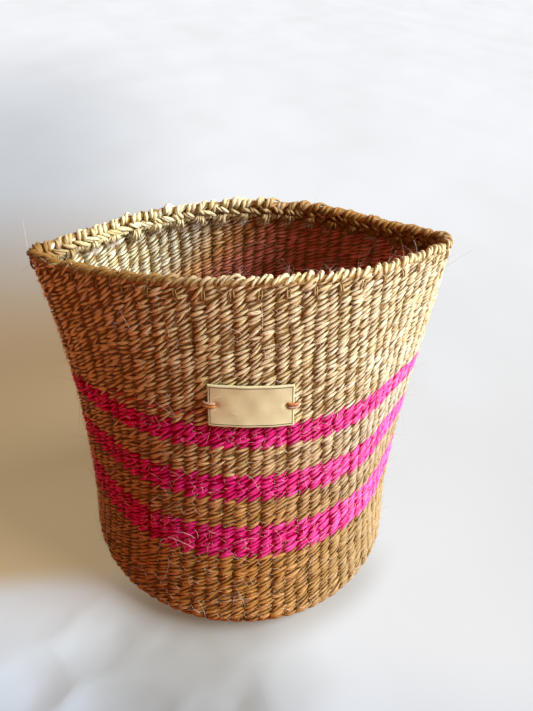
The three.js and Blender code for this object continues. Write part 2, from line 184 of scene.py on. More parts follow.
class Tub:
    """The tub's surface in metres, from the middle of the base over the heel to the rim.

    A place on it is its travel from the middle along the middle of the shell, its share of the
    turn counted by arc length from the right corner, and its depth under the rib crests.
    """

    PINCH_FADE = 0.87
    CORNER_SPREAD = 0.42
    CREASE_TIGHTENING = 0.5
    LEFT_CREASE_FADE = 1.0
    RIGHT_CREASE_FADE = 0.6
    RIGHT_CREASE_SWELL = 0.15
    TABLE_LEVELS = 90
    TABLE_ANGLES = 1440
    # How far above the corners the tables go, as a share of the height
    TABLE_TOP = 1.05
    # Brings the peak of share squared times rest to 1
    SWELL_SCALE = 27 / 4
    ANGLE_STEP = 0.001

    def __init__(self, sizes):
        self.height = sizes.corner_height
        self.base_radius = sizes.base_diameter / 2
        self.waist_half = sizes.waist_length / 2
        self.mouth_half = sizes.mouth_length / 2 - sizes.corner_length
        self.mouth_half_width = sizes.mouth_width / 2
        self.corner = sizes.corner_length
        self.rise = sizes.rim_rise
        self.heel = sizes.heel_radius
        self.thickness = sizes.wall_thickness
        self.middle = self.thickness / 2
        self.heel_start = self.base_radius - self.heel
        self.heel_arc = (self.heel - self.middle) * QUARTER_TURN
        self.wall_start = self.heel_start + self.heel_arc
        self._measure()

    def _measure(self):
        """Tables of the arc length round the outline, one for each of a run of levels."""
        self.levels = np.linspace(0, self.height * self.TABLE_TOP, self.TABLE_LEVELS)
        angles = np.linspace(0, FULL_TURN, self.TABLE_ANGLES + 1)
        x, y = self.outline(self.levels[:, None], angles[None, :])
        steps = np.hypot(np.diff(x, axis=1), np.diff(y, axis=1))
        along = np.concatenate([np.zeros((len(self.levels), 1)), np.cumsum(steps, axis=1)], axis=1)
        self.perimeters = along[:, -1]
        turns = np.linspace(0, 1, self.TABLE_ANGLES + 1)
        rows = [np.interp(turns, row / row[-1], angles) for row in along]
        self.angles = np.array(rows)

    def climbed(self, level):
        """The share of the way from the heel's top up to the corners."""
        return np.maximum(level - self.heel, 0) / (self.height - self.heel)

    def outline(self, level, angle):
        """An oval whose length follows a curve through three values and whose width shrinks by a
        power of the climb, with a bell-shaped bump at each end of its long axis."""
        share = self.climbed(level)
        rest = 1 - share
        half_length = (
            self.base_radius * rest * (1 - 2 * share)
            + 4 * self.waist_half * share * rest
            + self.mouth_half * share * (2 * share - 1)
        )
        narrowing = self.base_radius - self.mouth_half_width
        half_width = self.base_radius - narrowing * share**self.PINCH_FADE
        spread = self.CORNER_SPREAD * np.exp(-self.CREASE_TIGHTENING * rest)
        off_corner = np.arcsin(np.minimum(np.abs(np.sin(angle)), 1))
        bump = self.corner * np.exp(-((off_corner / spread) ** 2))
        swell = self.RIGHT_CREASE_SWELL * self.SWELL_SCALE * share**2 * rest
        right = share**self.RIGHT_CREASE_FADE + swell
        fade = np.where(np.cos(angle) < 0, -(share**self.LEFT_CREASE_FADE), right)
        return half_length * np.cos(angle) + fade * bump, half_width * np.sin(angle)

    def angle_at(self, level, turn):
        """The outline's angle at a share of the turn, read from the tables between two levels."""
        place = np.clip(level / self.levels[-1], 0, 1) * (self.TABLE_LEVELS - 1)
        low = np.minimum(place.astype(int), self.TABLE_LEVELS - 2)
        part = place - low
        whole = np.floor(turn)
        along = (turn - whole) * self.TABLE_ANGLES
        near = np.minimum(along.astype(int), self.TABLE_ANGLES - 1)
        between = along - near
        rows = [
            self.angles[row, near] * (1 - between) + self.angles[row, near + 1] * between
            for row in (low, low + 1)
        ]
        return rows[0] * (1 - part) + rows[1] * part + FULL_TURN * whole

    def wall(self, level, turn, depth):
        """A point of the wall: the outline at its level, moved in by its depth along the level
        normal, and raised towards the front and back by the cube of the climb."""
        level, turn, depth = matched(level, turn, depth)
        angle = self.angle_at(level, turn)
        x, y = self.outline(level, angle)
        ahead_x, ahead_y = self.outline(level, angle + self.ANGLE_STEP)
        behind_x, behind_y = self.outline(level, angle - self.ANGLE_STEP)
        along_x, along_y = ahead_x - behind_x, ahead_y - behind_y
        size = np.hypot(along_x, along_y)
        lift = self.rise * self.climbed(level) ** 3 * np.sin(angle) ** 2
        x = x - along_y / size * depth
        y = y + along_x / size * depth
        return np.stack([x, y, level + lift], axis=-1)

    def shell(self, travel, turn, depth):
        """A point anywhere on the shell: flat over the base, a quarter circle round the heel and
        then the wall."""
        travel, turn, depth = matched(travel, turn, depth)
        angle = FULL_TURN * turn
        turned = np.clip((travel - self.heel_start) / (self.heel - self.middle), 0, QUARTER_TURN)
        radius = np.minimum(travel, self.heel_start) + (self.heel - depth) * np.sin(turned)
        height = self.heel - (self.heel - depth) * np.cos(turned)
        low = np.stack([radius * np.cos(angle), radius * np.sin(angle), height], axis=-1)
        level = self.heel + np.maximum(travel - self.wall_start, 0)
        high = self.wall(level, turn, depth)
        return np.where((travel > self.wall_start)[..., None], high, low)

    def perimeter(self, level):
        """The length of the outline at a level."""
        return np.interp(level, self.levels, self.perimeters)

    def turn_at(self, level, distance):
        """The share of the turn that lies a distance to the right of the front's middle."""
        return FRONT + distance / self.perimeter(level)

    def travel_of(self, level):
        """The travel of a level of the wall."""
        return self.wall_start + level - self.heel


def the_tub():
    return Tub(bpy.context.scene.basket_sizes)


def the_weave():
    return bpy.context.scene.basket_weave


def random_run(number):
    """One operator's own run of random numbers."""
    return np.random.default_rng(the_weave().seed + number)


# Meshes

def make_piece(name, points, faces, finish, slot_name, uvs=None, values=None, replaced=()):
    """A mesh object from whole arrays of points and four-cornered or three-cornered faces."""
    mesh = bpy.data.meshes.new(name)
    corners = faces.shape[1]
    mesh.vertices.add(len(points))
    mesh.vertices.foreach_set("co", np.ascontiguousarray(points, np.float32).ravel())
    mesh.loops.add(faces.size)
    mesh.loops.foreach_set("vertex_index", np.ascontiguousarray(faces, np.int32).ravel())
    mesh.polygons.add(len(faces))
    mesh.polygons.foreach_set("loop_start", np.arange(len(faces), dtype=np.int32) * corners)
    for layer_name, layer_uv in (uvs or {}).items():
        layer = mesh.uv_layers.new(name=layer_name)
        layer.uv.foreach_set("vector", np.ascontiguousarray(layer_uv, np.float32).ravel())
    for value_name, value in (values or {}).items():
        attribute = mesh.attributes.new(value_name, "FLOAT", "POINT")
        attribute.data.foreach_set("value", np.ascontiguousarray(value, np.float32).ravel())
    mesh.update(calc_edges=True)
    mesh.shade_smooth()
    mesh.materials.append(finish)
    piece = bpy.data.objects.new(name, mesh)
    bpy.context.scene.collection.objects.link(piece)
    if slot_name:
        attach(piece, "root")
    if replaced:
        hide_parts(*replaced)
    return piece


def grid_faces(strips, stations, sides, closed):
    """Faces of tubes that follow one another in the point list, with the corners' places on the
    grid. A closed tube joins its last station to its first, and an open one ends in its last."""
    spans = stations if closed else stations - 1
    places = np.meshgrid(np.arange(strips), np.arange(spans), np.arange(sides), indexing="ij")
    strip, station, side = (place.reshape(-1, 1) for place in places)
    along = station + np.array([0, 0, 1, 1])
    around = side + np.array([0, 1, 1, 0])
    faces = (strip * stations + along % stations) * sides + around % sides
    return faces, strip + 0 * along, along, around


def tube_uvs(strips, stations, sides, closed, lengths, girth, rng):
    """Two maps: OFBake stacks the tubes as strips over the unit square, with a gap between two
    strips, and Weave gives metres along and round each tube, with its own start."""
    strip_width = 0.92
    longest_start = 3
    start_drift = 0.37
    _, which, along, around = grid_faces(strips, stations, sides, closed)
    share = along / (stations if closed else stations - 1)
    margin = (1 - strip_width) / 2
    bake = np.stack([share, (which + margin + strip_width * around / sides) / strips], axis=-1)
    starts = rng.uniform(0, longest_start, strips)[which]
    weave = np.stack(
        [share * lengths[which] + starts, around / sides * girth + starts * start_drift], axis=-1
    )
    return {"OFBake": bake, "Weave": weave}


def tube_piece(name, points, layout, lengths, girth, rng, look, values, replaced=()):
    """One piece of tubes with the same stations and sides. The look is its finish and a slot name,
    which only decides whether the piece hangs under the root.
    """
    uvs = tube_uvs(*layout, lengths, girth, rng)
    faces = grid_faces(*layout)[0]
    make_piece(name, points.reshape(-1, 3), faces, *look, uvs, values, replaced)


def sweep_tubes(paths, radii, reference, sides):
    """Round tubes along many paths at once: each station's ring lies square to the path, turned by
    a reference direction that the path never follows."""
    tangent = unit(np.gradient(paths, axis=1))
    across = unit(reference - np.sum(reference * tangent, axis=-1, keepdims=True) * tangent)
    up = np.cross(tangent, across)
    around = (FULL_TURN * np.arange(sides) / sides)[:, None]
    ring = across[:, :, None, :] * np.cos(around) + up[:, :, None, :] * np.sin(around)
    return paths[:, :, None, :] + ring * radii[..., None, None]


def path_lengths(paths):
    """The length of each path, station by station."""
    return np.linalg.norm(np.diff(paths, axis=1), axis=-1).sum(axis=1)


# Strands of the weave

# Stations along one stitch, as shares of a rib from its middle, and points round a strand
STITCH_PLACES = (-0.64, -0.42, -0.14, 0.14, 0.42, 0.64)
STRAND_SIDES = 6
STRAND_GIRTH = 0.0078

# A stitch's shape, on the outer face first and then on the inner face
LEAF_HALVES = (0.70, 0.58)
DIVES = (0.50, 0.80)

LEAF_POWER = 0.95
THINNEST_LEAF = 0.04
DIVE_POWER = 2.2
INNER_SLANT = 0.9
FLATTER_TO_THE_RIGHT = 0.32
MOST_LEAN = 0.24
WALL_RIB_LENGTH = 0.0085
STITCH_LENGTH = 0.0095
END_TAPER = 0.3
THINNEST_END = 0.12

# Height of the rows' slow waves in metres, and of the ribs' as shares of a rib
ROW_WAVE = 0.00022
RIB_WANDER = (0.07, 0.06)

# Depth under either face at which the crest value has fallen from 1 to 0. The sisal paints a high crest
# value lighter as a painted highlight and a low one darker as painted shade
FACE_DEPTH = 0.0019

# Spreads of the hand-made unevenness, as shares or in metres
PLUMPNESS = 0.16
SLANT = 0.26
ROW_DRIFT = 0.0002
DEPTH_DRIFT = 0.00016
REACH = 0.10
RIB_DRIFT = 0.06
SHADE_SPREAD = 0.24
TONE_SPREAD = 0.12


def twined_strands(tub, weave, travels, ribs, rng, first=0.0, last=None):
    """Two strands to a row, wound round each other. Each strand lies outside one rib, where it
    climbs to the right, and inside the next, where it comes down again. A stitch runs straight
    from under its neighbour on one side to under its neighbour on the other. It is leaf-shaped:
    its height falls off by a power of a parabola, and its depth grows by a power of the way to
    its tips. Stitches on the inner face are shorter and sink deeper, and those on the outer face
    lie flatter towards the right corner."""
    closed = last is None
    span = int(round(ribs if closed else last - first))
    rib = np.repeat(np.arange(span) + math.ceil(first), len(STITCH_PLACES))
    across = np.tile(STITCH_PLACES, span)
    rows = len(travels)
    travels = np.asarray(travels)[:, None, None]
    side = 1 - 2 * ((rib[None, None, :] + np.array([0, 1])[None, :, None]) % 2)

    def uneven(amount):
        return rng.normal(0, amount, (rows, 2, ribs))[:, :, rib % ribs]

    def by_face(outer, inner):
        return np.where(side > 0, outer, inner)

    rib_length = np.where(travels < tub.wall_start, FULL_TURN * travels / ribs, WALL_RIB_LENGTH)
    lean = np.minimum(weave.stitch_lean, MOST_LEAN * rib_length)
    leaf = np.maximum(1 - (across / by_face(*LEAF_HALVES)) ** 2, THINNEST_LEAF) ** LEAF_POWER
    dive = by_face(*DIVES) * (np.abs(across) / STITCH_PLACES[-1]) ** DIVE_POWER
    plump = 1 + uneven(PLUMPNESS)
    outer_slant = 1 - FLATTER_TO_THE_RIGHT * np.cos(FULL_TURN * rib / ribs)
    slant = by_face(outer_slant, INNER_SLANT) * (1 + uneven(SLANT))
    climb = 2 * lean * side * across * slant
    centre = travels + climb + row_wave(travels, rib / ribs) + uneven(ROW_DRIFT)
    sunk = (tub.middle - weave.strand_depth) * dive
    under = weave.strand_depth + sunk + uneven(DEPTH_DRIFT)
    depth = tub.middle - side * (tub.middle - under)
    tall = weave.strand_height * leaf * plump
    deep = weave.strand_depth * (0.5 + 0.5 * leaf) * plump
    if not closed:
        place = rib + across
        to_end = np.minimum(place - first, last - place)
        taper = np.clip(to_end / END_TAPER, THINNEST_END, 1)
        tall = tall * taper
        deep = deep * taper
    around = FULL_TURN * (np.arange(STRAND_SIDES) + 0.5) / STRAND_SIDES
    travel = centre[..., None] + tall[..., None] * np.cos(around)
    inward = depth[..., None] + deep[..., None] * np.sin(around)
    reach = across * (1 + uneven(REACH))
    turn = (rib + reach + uneven(RIB_DRIFT) + rib_wander(travels, rib)) / ribs
    points = tub.shell(travel, turn[..., None], inward)
    points[..., 2] = np.maximum(points[..., 2], 0)
    shade = np.clip(0.5 + uneven(SHADE_SPREAD), 0, 1)
    tone = np.clip(0.5 + rng.normal(0, TONE_SPREAD, (rows, 2, 1)), 0, 1) + 0 * shade
    under_face = np.minimum(inward, tub.thickness - inward)
    return {
        "layout": (rows * 2, len(rib), STRAND_SIDES, closed),
        "points": points.reshape(-1, 3),
        "lengths": np.full(rows * 2, span * STITCH_LENGTH),
        "values": {
            "stitch": np.repeat(shade.reshape(-1), STRAND_SIDES),
            "strand": np.repeat(tone.reshape(-1), STRAND_SIDES),
            "crest": np.clip(1 - under_face / FACE_DEPTH, 0, 1).reshape(-1),
            "inside": (inward > tub.middle).astype(float).reshape(-1),
        },
    }


def row_wave(travel, turn):
    """Rows drift up and down by a fraction of a row: a sum of three slow sines."""
    angle = FULL_TURN * turn
    return ROW_WAVE * (
        np.sin(3 * angle + 31 * travel)
        + 0.8 * np.sin(7 * angle - 47 * travel + 1.3)
        + 0.6 * np.sin(13 * angle + 83 * travel + 0.4)
    )


def rib_wander(travel, rib):
    """Ribs drift sideways by a fraction of a rib: a sum of two slow sines, each rib its own."""
    long, short = RIB_WANDER
    return long * np.sin(38 * travel + 2.1 * rib) + short * np.sin(91 * travel - 1.7 * rib)


def strand_piece(name, bundles, look, replaced):
    """One piece from several bundles of strands, whose strips share the bake map's square. The look is
    its finish and a slot name, which only decides whether the piece hangs under the root."""
    rng = np.random.default_rng(len(name) * 17 + bundles[0]["layout"][0])
    total = sum(bundle["layout"][0] for bundle in bundles)
    parts = []
    offset = 0
    done = 0
    for bundle in bundles:
        layout = bundle["layout"]
        maps = tube_uvs(*layout, bundle["lengths"], STRAND_GIRTH, rng)
        maps["OFBake"][..., 1] = (maps["OFBake"][..., 1] * layout[0] + done) / total
        faces = grid_faces(*layout)[0] + offset
        parts.append({"points": bundle["points"], "faces": faces, **maps, **bundle["values"]})
        offset += len(bundle["points"])
        done += layout[0]
    values = {key: np.concatenate([part[key] for part in parts]) for key in parts[0]}
    points, faces = values.pop("points"), values.pop("faces")
    uvs = {key: values.pop(key) for key in ("OFBake", "Weave")}
    make_piece(name, points, faces, *look, uvs, values, replaced)


def row_travels(tub, weave, first, last):
    """The travels of the rows from first up to last."""
    base = tub.travel_of(0) + 0.5 * weave.row_pitch
    return base + weave.row_pitch * np.arange(first, last)


# Finishes

def maths(operation, swapped=False):
    """A method of Wire that adds one Math node. A reflected one swaps its two values."""
    def method(self, *others):
        values = (*others, self) if swapped else (self, *others)
        return self.finish.node("ShaderNodeMath", {"operation": operation}, dict(enumerate(values)))

    return method


class Wire:
    """A shader socket: arithmetic on it adds Math nodes."""

    def __init__(self, finish, socket):
        self.finish = finish
        self.socket = socket

    __add__ = maths("ADD")
    __radd__ = maths("ADD", True)
    __sub__ = maths("SUBTRACT")
    __rsub__ = maths("SUBTRACT", True)
    __mul__ = maths("MULTIPLY")
    __rmul__ = maths("MULTIPLY", True)
    size = maths("ABSOLUTE")
    least = maths("MINIMUM")
    most = maths("MAXIMUM")

    def ease(self, low, high):
        """A smooth step from 0 at low to 1 at high."""
        return self.finish.node(
            "ShaderNodeMapRange",
            {"interpolation_type": "SMOOTHSTEP"},
            {"Value": self, "From Min": low, "From Max": high},
        )


class Finish:
    """The nodes of a material or of the room, built one by one."""

    def __init__(self, owner):
        owner.use_nodes = True
        self.owner = owner
        self.tree = owner.node_tree
        self.tree.nodes.clear()

    def node(self, kind, settings=None, inputs=None, output=0):
        """Adds a node: its settings first, then the values or links of its sockets."""
        made = self.tree.nodes.new(kind)
        for key, value in (settings or {}).items():
            setattr(made, key, value)
        for key, value in (inputs or {}).items():
            socket = made.inputs[key]
            if isinstance(value, Wire):
                self.tree.links.new(value.socket, socket)
            elif socket.type == "RGBA":
                socket.default_value = (*value, 1)
            else:
                socket.default_value = value
        return Wire(self, made.outputs[output]) if made.outputs else None

    def value(self, name):
        """A number stored on the mesh."""
        return self.node("ShaderNodeAttribute", {"attribute_name": name}, output="Fac")

    def uv(self, name):
        """The two coordinates of a UV map."""
        return self.parts(self.node("ShaderNodeUVMap", {"uv_map": name}))[:2]

    def place(self):
        """The place in metres from the middle of the basket's foot."""
        return self.node("ShaderNodeTexCoord", output="Object")

    def parts(self, vector):
        """The three numbers of a vector."""
        split = self.node("ShaderNodeSeparateXYZ", None, {"Vector": vector}).socket.node.outputs
        return [Wire(self, split[name]) for name in "XYZ"]

    def vector(self, x, y, z=0.0):
        return self.node("ShaderNodeCombineXYZ", None, {"X": x, "Y": y, "Z": z})

    def noise(self, place, scale, detail, roughness):
        return self.node(
            "ShaderNodeTexNoise",
            {"noise_dimensions": "3D"},
            {"Vector": place, "Scale": scale, "Detail": detail, "Roughness": roughness},
            output="Fac",
        )

    def blend(self, amount, first, second, way="MIX"):
        """A Mix of two colours, by the places of its colour sockets, which share their names."""
        settings = {"data_type": "RGBA", "blend_type": way, "clamp_factor": True}
        return self.node("ShaderNodeMix", settings, {0: amount, 6: first, 7: second}, 2)

    def distance(self, place, middle):
        settings = {"operation": "DISTANCE"}
        return self.node("ShaderNodeVectorMath", settings, {0: place, 1: middle}, "Value")

    def bump(self, height, strength, distance, base=None):
        inputs = {"Height": height, "Strength": strength, "Distance": distance}
        if base is not None:
            inputs["Normal"] = base
        return self.node("ShaderNodeBump", None, inputs)

    def seen(self):
        """1 where the camera looks, also through or off something shiny, and 0 for other light."""
        rays = self.node("ShaderNodeLightPath").socket.node.outputs
        camera, glossy, through = (
            Wire(self, rays[f"Is {kind} Ray"]) for kind in ("Camera", "Glossy", "Transmission")
        )
        return camera.most(glossy).most(through)

    def skin(self, settings):
        """A Principled shader."""
        return self.node("ShaderNodeBsdfPrincipled", None, settings)

    def surface(self, shader, output="ShaderNodeOutputMaterial"):
        """Ends the nodes in a shader and gives their owner."""
        self.node(output, None, {"Surface": shader})
        return self.owner


def shaded(colour, shares):
    """A colour whose three parts are each multiplied by a share."""
    return tuple(part * share for part, share in zip(colour, shares))


def dimmed(colour, share):
    return shaded(colour, (share, share, share))


def made_once(name, build, **look):
    """A material, found again by its name once it is built."""
    found = bpy.data.materials.get(name)
    return found or build(Finish(bpy.data.materials.new(name)), **look)


# Streaks of the sisal, to the metre along and round a strand
FIBRES = (380, 4200)
BUNDLES = (260, 850)
TWIST = 0.30

# How much each thing lightens a strand; what the crest adds is a painted highlight on the strand's top
STITCH_LIGHT = 0.55
STRAND_LIGHT = 0.25
FIBRE_LIGHT = 0.95
BUNDLE_LIGHT = 1.5
PATCH_LIGHT = 0.5
PAINTED_CREST_HIGHLIGHT = 0.50
DARKENING = 0.18

# Painted light and painted shade on the upper inner face, from the left corner to the right: bluer
# where the window lights it, redder in the shade
INNER_LEFT_PAINTED_LIGHT = (0.95, 1.0, 1.27)
INNER_MIDDLE_PAINTED_SHADE = (1.12, 0.74, 0.46)
INNER_RIGHT_PAINTED_SHADE = (1.16, 0.42, 0.56)


def sisal(finish, pale, deep, gloss, tints, mirror=0.1, shadow=(0.40, 0.28, 0.18)):
    """Twisted sisal: fine streaks wind along the strand, every stitch and strand has its own shade, a
    strand's crest is painted lighter as a painted highlight, and painted shade deepens the colour where
    a strand dives between the ribs, less so on the inner face and on the lit right. Each tint is
    painted light or painted shade: it multiplies the colour in one part of the tub, whose edges are
    given in metres. High up, the inner face away from the left corner is redder as painted shade, and
    near the left corner it is bluer as painted light."""
    along, around = finish.uv("Weave")
    twisted = around + along * TWIST
    fibres = finish.noise(finish.vector(along * FIBRES[0], twisted * FIBRES[1]), 1.0, 2.0, 0.6)
    streaks = finish.vector(along * BUNDLES[0], twisted * BUNDLES[1], 3.0)
    bundles = finish.noise(streaks, 1.0, 1.0, 0.5)
    place = finish.place()
    patches = finish.noise(place, 26.0, 2.0, 0.5)
    specks = finish.noise(place, 900.0, 2.0, 0.6)
    crest = finish.value("crest")
    light = (
        finish.value("stitch") * STITCH_LIGHT
        + finish.value("strand") * STRAND_LIGHT
        + (fibres - 0.5) * FIBRE_LIGHT
        + (bundles - 0.5) * BUNDLE_LIGHT
        + (patches - 0.5) * PATCH_LIGHT
        + crest * PAINTED_CREST_HIGHLIGHT
        - DARKENING
    )
    colour = finish.blend(light, deep, pale)
    sideways, forward, height = finish.parts(place)
    painted_light_masks = {
        "low": lambda: 1 - height.ease(0.06, 0.19),
        "low right": lambda: (1 - height.ease(0.06, 0.19)) * sideways.ease(-0.02, 0.08),
        "back right": lambda: sideways.ease(-0.02, 0.06) * forward.ease(-0.02, 0.01),
        "front left": lambda: (sideways * -0.8 - forward).ease(0.04, 0.10),
        "left": lambda: 1 - sideways.ease(-0.09, 0.0),
        "right": lambda: sideways.ease(-0.02, 0.08),
    }
    # Each tint is painted light or painted shade in one part of the tub
    for part, tint in tints.items():
        colour = finish.blend(painted_light_masks[part](), colour, tint, "MULTIPLY")
    # The inner face's tint is painted light near the left corner and painted shade away from it
    across = sideways - height
    inner = finish.blend(across.ease(-0.245, -0.205), INNER_LEFT_PAINTED_LIGHT, INNER_MIDDLE_PAINTED_SHADE)
    inner = finish.blend(across.ease(-0.22, -0.175), inner, INNER_RIGHT_PAINTED_SHADE)
    inside = finish.value("inside")
    colour = finish.blend(inside * height.ease(0.02, 0.11), colour, inner, "MULTIPLY")
    # Painted shade darkens the strands where they dive between the ribs and rows, less so on the inner
    # face and on the lit right; the specks below are the yarn's own dark flecks
    dark = shaded(deep, shadow)
    less_gap_shade = inside * 0.50 + sideways.ease(0.02, 0.11) * 0.38
    painted_gap_shade = (1 - crest.ease(0.32, 0.95)) * (0.85 - less_gap_shade)
    colour = finish.blend(painted_gap_shade, colour, dark)
    colour = finish.blend(specks.ease(0.66, 0.78) * 0.25, colour, dark)
    relief = finish.bump(bundles, 0.8, 0.0008, finish.bump(fibres, 0.75, 0.00022))
    skin = {
        "Base Color": colour,
        "Roughness": 0.50 - gloss + (fibres - 0.5) * 0.30,
        "Normal": relief,
        "Specular IOR Level": mirror,
    }
    return finish.surface(finish.skin(skin))


def natural_sisal():
    """Undyed yarn, browner low down as painted shade, less brown at the lower right, a little lighter
    on the shaded left as painted light and a little darker on the lit right as painted shade.
    """
    colours = bpy.context.scene.basket_colours
    tints = {
        "low": (0.72, 0.41, 0.18),
        "low right": (0.77, 1.08, 1.80),
        "left": (1.03, 1.07, 1.0),
        "right": (0.89, 0.91, 0.98),
    }
    pale, deep = colours.natural_pale, colours.natural_deep
    return made_once("Natural sisal", sisal, pale=pale, deep=deep, gloss=0.10, tints=tints)


def rim_sisal():
    """The border's yarn, browner at the back right and the front left as painted shade."""
    colours = bpy.context.scene.basket_colours
    tints = {"back right": (0.40, 0.235, 0.09), "front left": (0.31, 0.18, 0.07)}
    pale, deep = dimmed(colours.natural_pale, 0.86), colours.natural_deep
    return made_once("Rim sisal", sisal, pale=pale, deep=deep, gloss=0.12, tints=tints)


def pink_sisal():
    """The stripes' dyed yarn, deeper to the left as painted shade and paler to the right as painted
    light.
    """
    colours = bpy.context.scene.basket_colours
    return made_once(
        "Pink sisal",
        sisal,
        pale=colours.pink_pale,
        deep=colours.pink_deep,
        gloss=0.10,
        tints={"left": (1.0, 0.4, 1.0), "right": (1.0, 2.9, 1.32)},
        mirror=0.05,
        shadow=(0.62, 0.40, 0.50),
    )


def faded_pink_sisal():
    """The short row's yarn, thinner in colour than the stripes'."""
    colours = bpy.context.scene.basket_colours
    return made_once(
        "Faded pink sisal",
        sisal,
        pale=colours.faded_pale,
        deep=colours.faded_deep,
        gloss=0.10,
        tints={},
        mirror=0.05,
    )


def warp_sisal(finish):
    """The warps between the stitches: darkened as painted shade between the stitches, and pink where a
    stripe passes them.
    """
    colours = bpy.context.scene.basket_colours
    # Both colours are the yarn's deep colour, darkened further as painted shade
    natural = shaded(colours.natural_deep, (0.52, 0.42, 0.45))
    pink = shaded(colours.pink_deep, (0.60, 0.40, 0.45))
    along, around = finish.uv("Weave")
    fibres = finish.noise(finish.vector(along * FIBRES[0], around * FIBRES[1]), 1.0, 2.0, 0.6)
    colour = finish.blend(finish.value("dyed"), natural, pink)
    colour = finish.blend((0.75 - fibres) * 0.9, colour, (0.25, 0.15, 0.10), "MULTIPLY")
    skin = {"Base Color": colour, "Roughness": 0.55, "Specular IOR Level": 0.05}
    return finish.surface(finish.skin(skin))


def label_leather(finish):
    """Tan leather: a fine pebbled grain, soft stains, darker edges and one thin pressed line."""
    colours = bpy.context.scene.basket_colours
    label = BASKET_OT_label
    across, up = finish.uv("Face")
    place = finish.place()
    stains = finish.noise(place, 120.0, 3.0, 0.6)
    grain = finish.node(
        "ShaderNodeTexVoronoi",
        {"feature": "F1"},
        {"Vector": place, "Scale": 1500.0, "Randomness": 1.0},
        output="Distance",
    )
    edge = (label.WIDTH / 2 - across.size()).least(label.HEIGHT / 2 - up.size())
    line = 1 - (edge - label.LINE_FROM_EDGE).size().ease(0.00018, 0.00036)
    rim = 1 - edge.ease(0.0, 0.0009)
    worn = dimmed(colours.leather, 1.18)
    dark = dimmed(colours.leather, 0.62)
    colour = finish.blend(stains, dark, worn)
    colour = finish.blend(0.45, colour, colours.leather)
    colour = finish.blend(rim * 0.55, colour, dark)
    colour = finish.blend(line * 0.9, colour, colours.leather_line)
    relief = grain * 0.25 - line + stains * 0.4
    skin = {
        "Base Color": colour,
        "Roughness": 0.5 + (stains - 0.5) * 0.25,
        "Normal": finish.bump(relief, 0.5, 0.0002),
        "Specular IOR Level": 0.45,
    }
    return finish.surface(finish.skin(skin))


def stitch_thread(finish):
    """Glossy sewing thread: fine plies wind along it, orange or white by a value on the mesh."""
    colours = bpy.context.scene.basket_colours
    along, around = finish.uv("Weave")
    plies = finish.noise(finish.vector(along * 300, (around + along * 0.8) * 3000), 1.0, 1.0, 0.5)
    colour = finish.blend(finish.value("pale"), colours.thread_orange, colours.thread_white)
    dark = dimmed(colours.thread_orange, 0.45)
    skin = {
        "Base Color": finish.blend((plies - 0.35) * 1.4, dark, colour),
        "Roughness": 0.38 + (plies - 0.5) * 0.2,
        "Normal": finish.bump(plies, 0.6, 0.0002),
        "Sheen Weight": 0.2,
    }
    return finish.surface(finish.skin(skin))


def stray_hair(finish):
    """Loose sisal hair: pale straw, a little shiny, a different tone on each hair."""
    colours = bpy.context.scene.basket_colours
    tone = finish.value("tone")
    colour = finish.blend(tone, colours.hair_deep, colours.hair_pale)
    return finish.surface(finish.skin({"Base Color": colour, "Roughness": 0.4 + tone * 0.1}))


def paper_tints(finish, place):
    """Painted light and shade on the paper: lighter further back, cooler and darker in front and greyer
    behind on the left as painted shade, and darker under the basket's front left and round its foot as
    painted contact shadow.
    """
    sideways, forward, _ = finish.parts(place)
    front = 1 - (forward + sideways * 0.35).ease(-0.24, -0.09)
    fading = (1 - forward.ease(0.6, 2.2)) * forward.ease(-0.05, 0.3)
    back_left_painted_shade = (1 - sideways.ease(-0.30, 0.10)) * fading
    # Painted contact shadow under the basket's front left and round its foot
    under = 1 - finish.distance(place, (-0.055, -0.14, 0.0)).ease(0.025, 0.10)
    ring = 1 - finish.distance(place, (0.0, 0.0, 0.0)).ease(0.105, 0.13)
    foot_painted_shadow = ring * (1 - forward.ease(-0.09, -0.04))
    plain = finish.blend(forward.ease(0.0, 0.7), (0.93, 0.92, 0.90), (1.0, 1.0, 1.0))
    for part, tint in (
        (front, (0.70, 0.77, 0.87)),
        (back_left_painted_shade, (0.62, 0.64, 0.66)),
        (under, (0.64, 0.60, 0.55)),
        (foot_painted_shadow, (0.76, 0.70, 0.64)),
    ):
        plain = finish.blend(part, plain, tint, "MULTIPLY")
    return plain


def paper_creases(finish, place):
    """Soft crumpled facets in front of the basket on the left."""
    sideways, forward, _ = finish.parts(place)
    waves = finish.noise(place, 11.0, 2.0, 0.5)
    turned = finish.vector(sideways + waves * 0.06, forward * 1.3 - waves * 0.05)
    cells = {"Vector": turned, "Scale": 21.0, "Smoothness": 0.45, "Randomness": 1.0}
    facets = finish.node("ShaderNodeTexVoronoi", {"feature": "SMOOTH_F1"}, cells, output="Distance")
    near = 1 - finish.distance(place, (-0.12, -0.20, 0.0)).ease(0.05, 0.20)
    return finish.bump(facets * near, 0.65, 0.012)


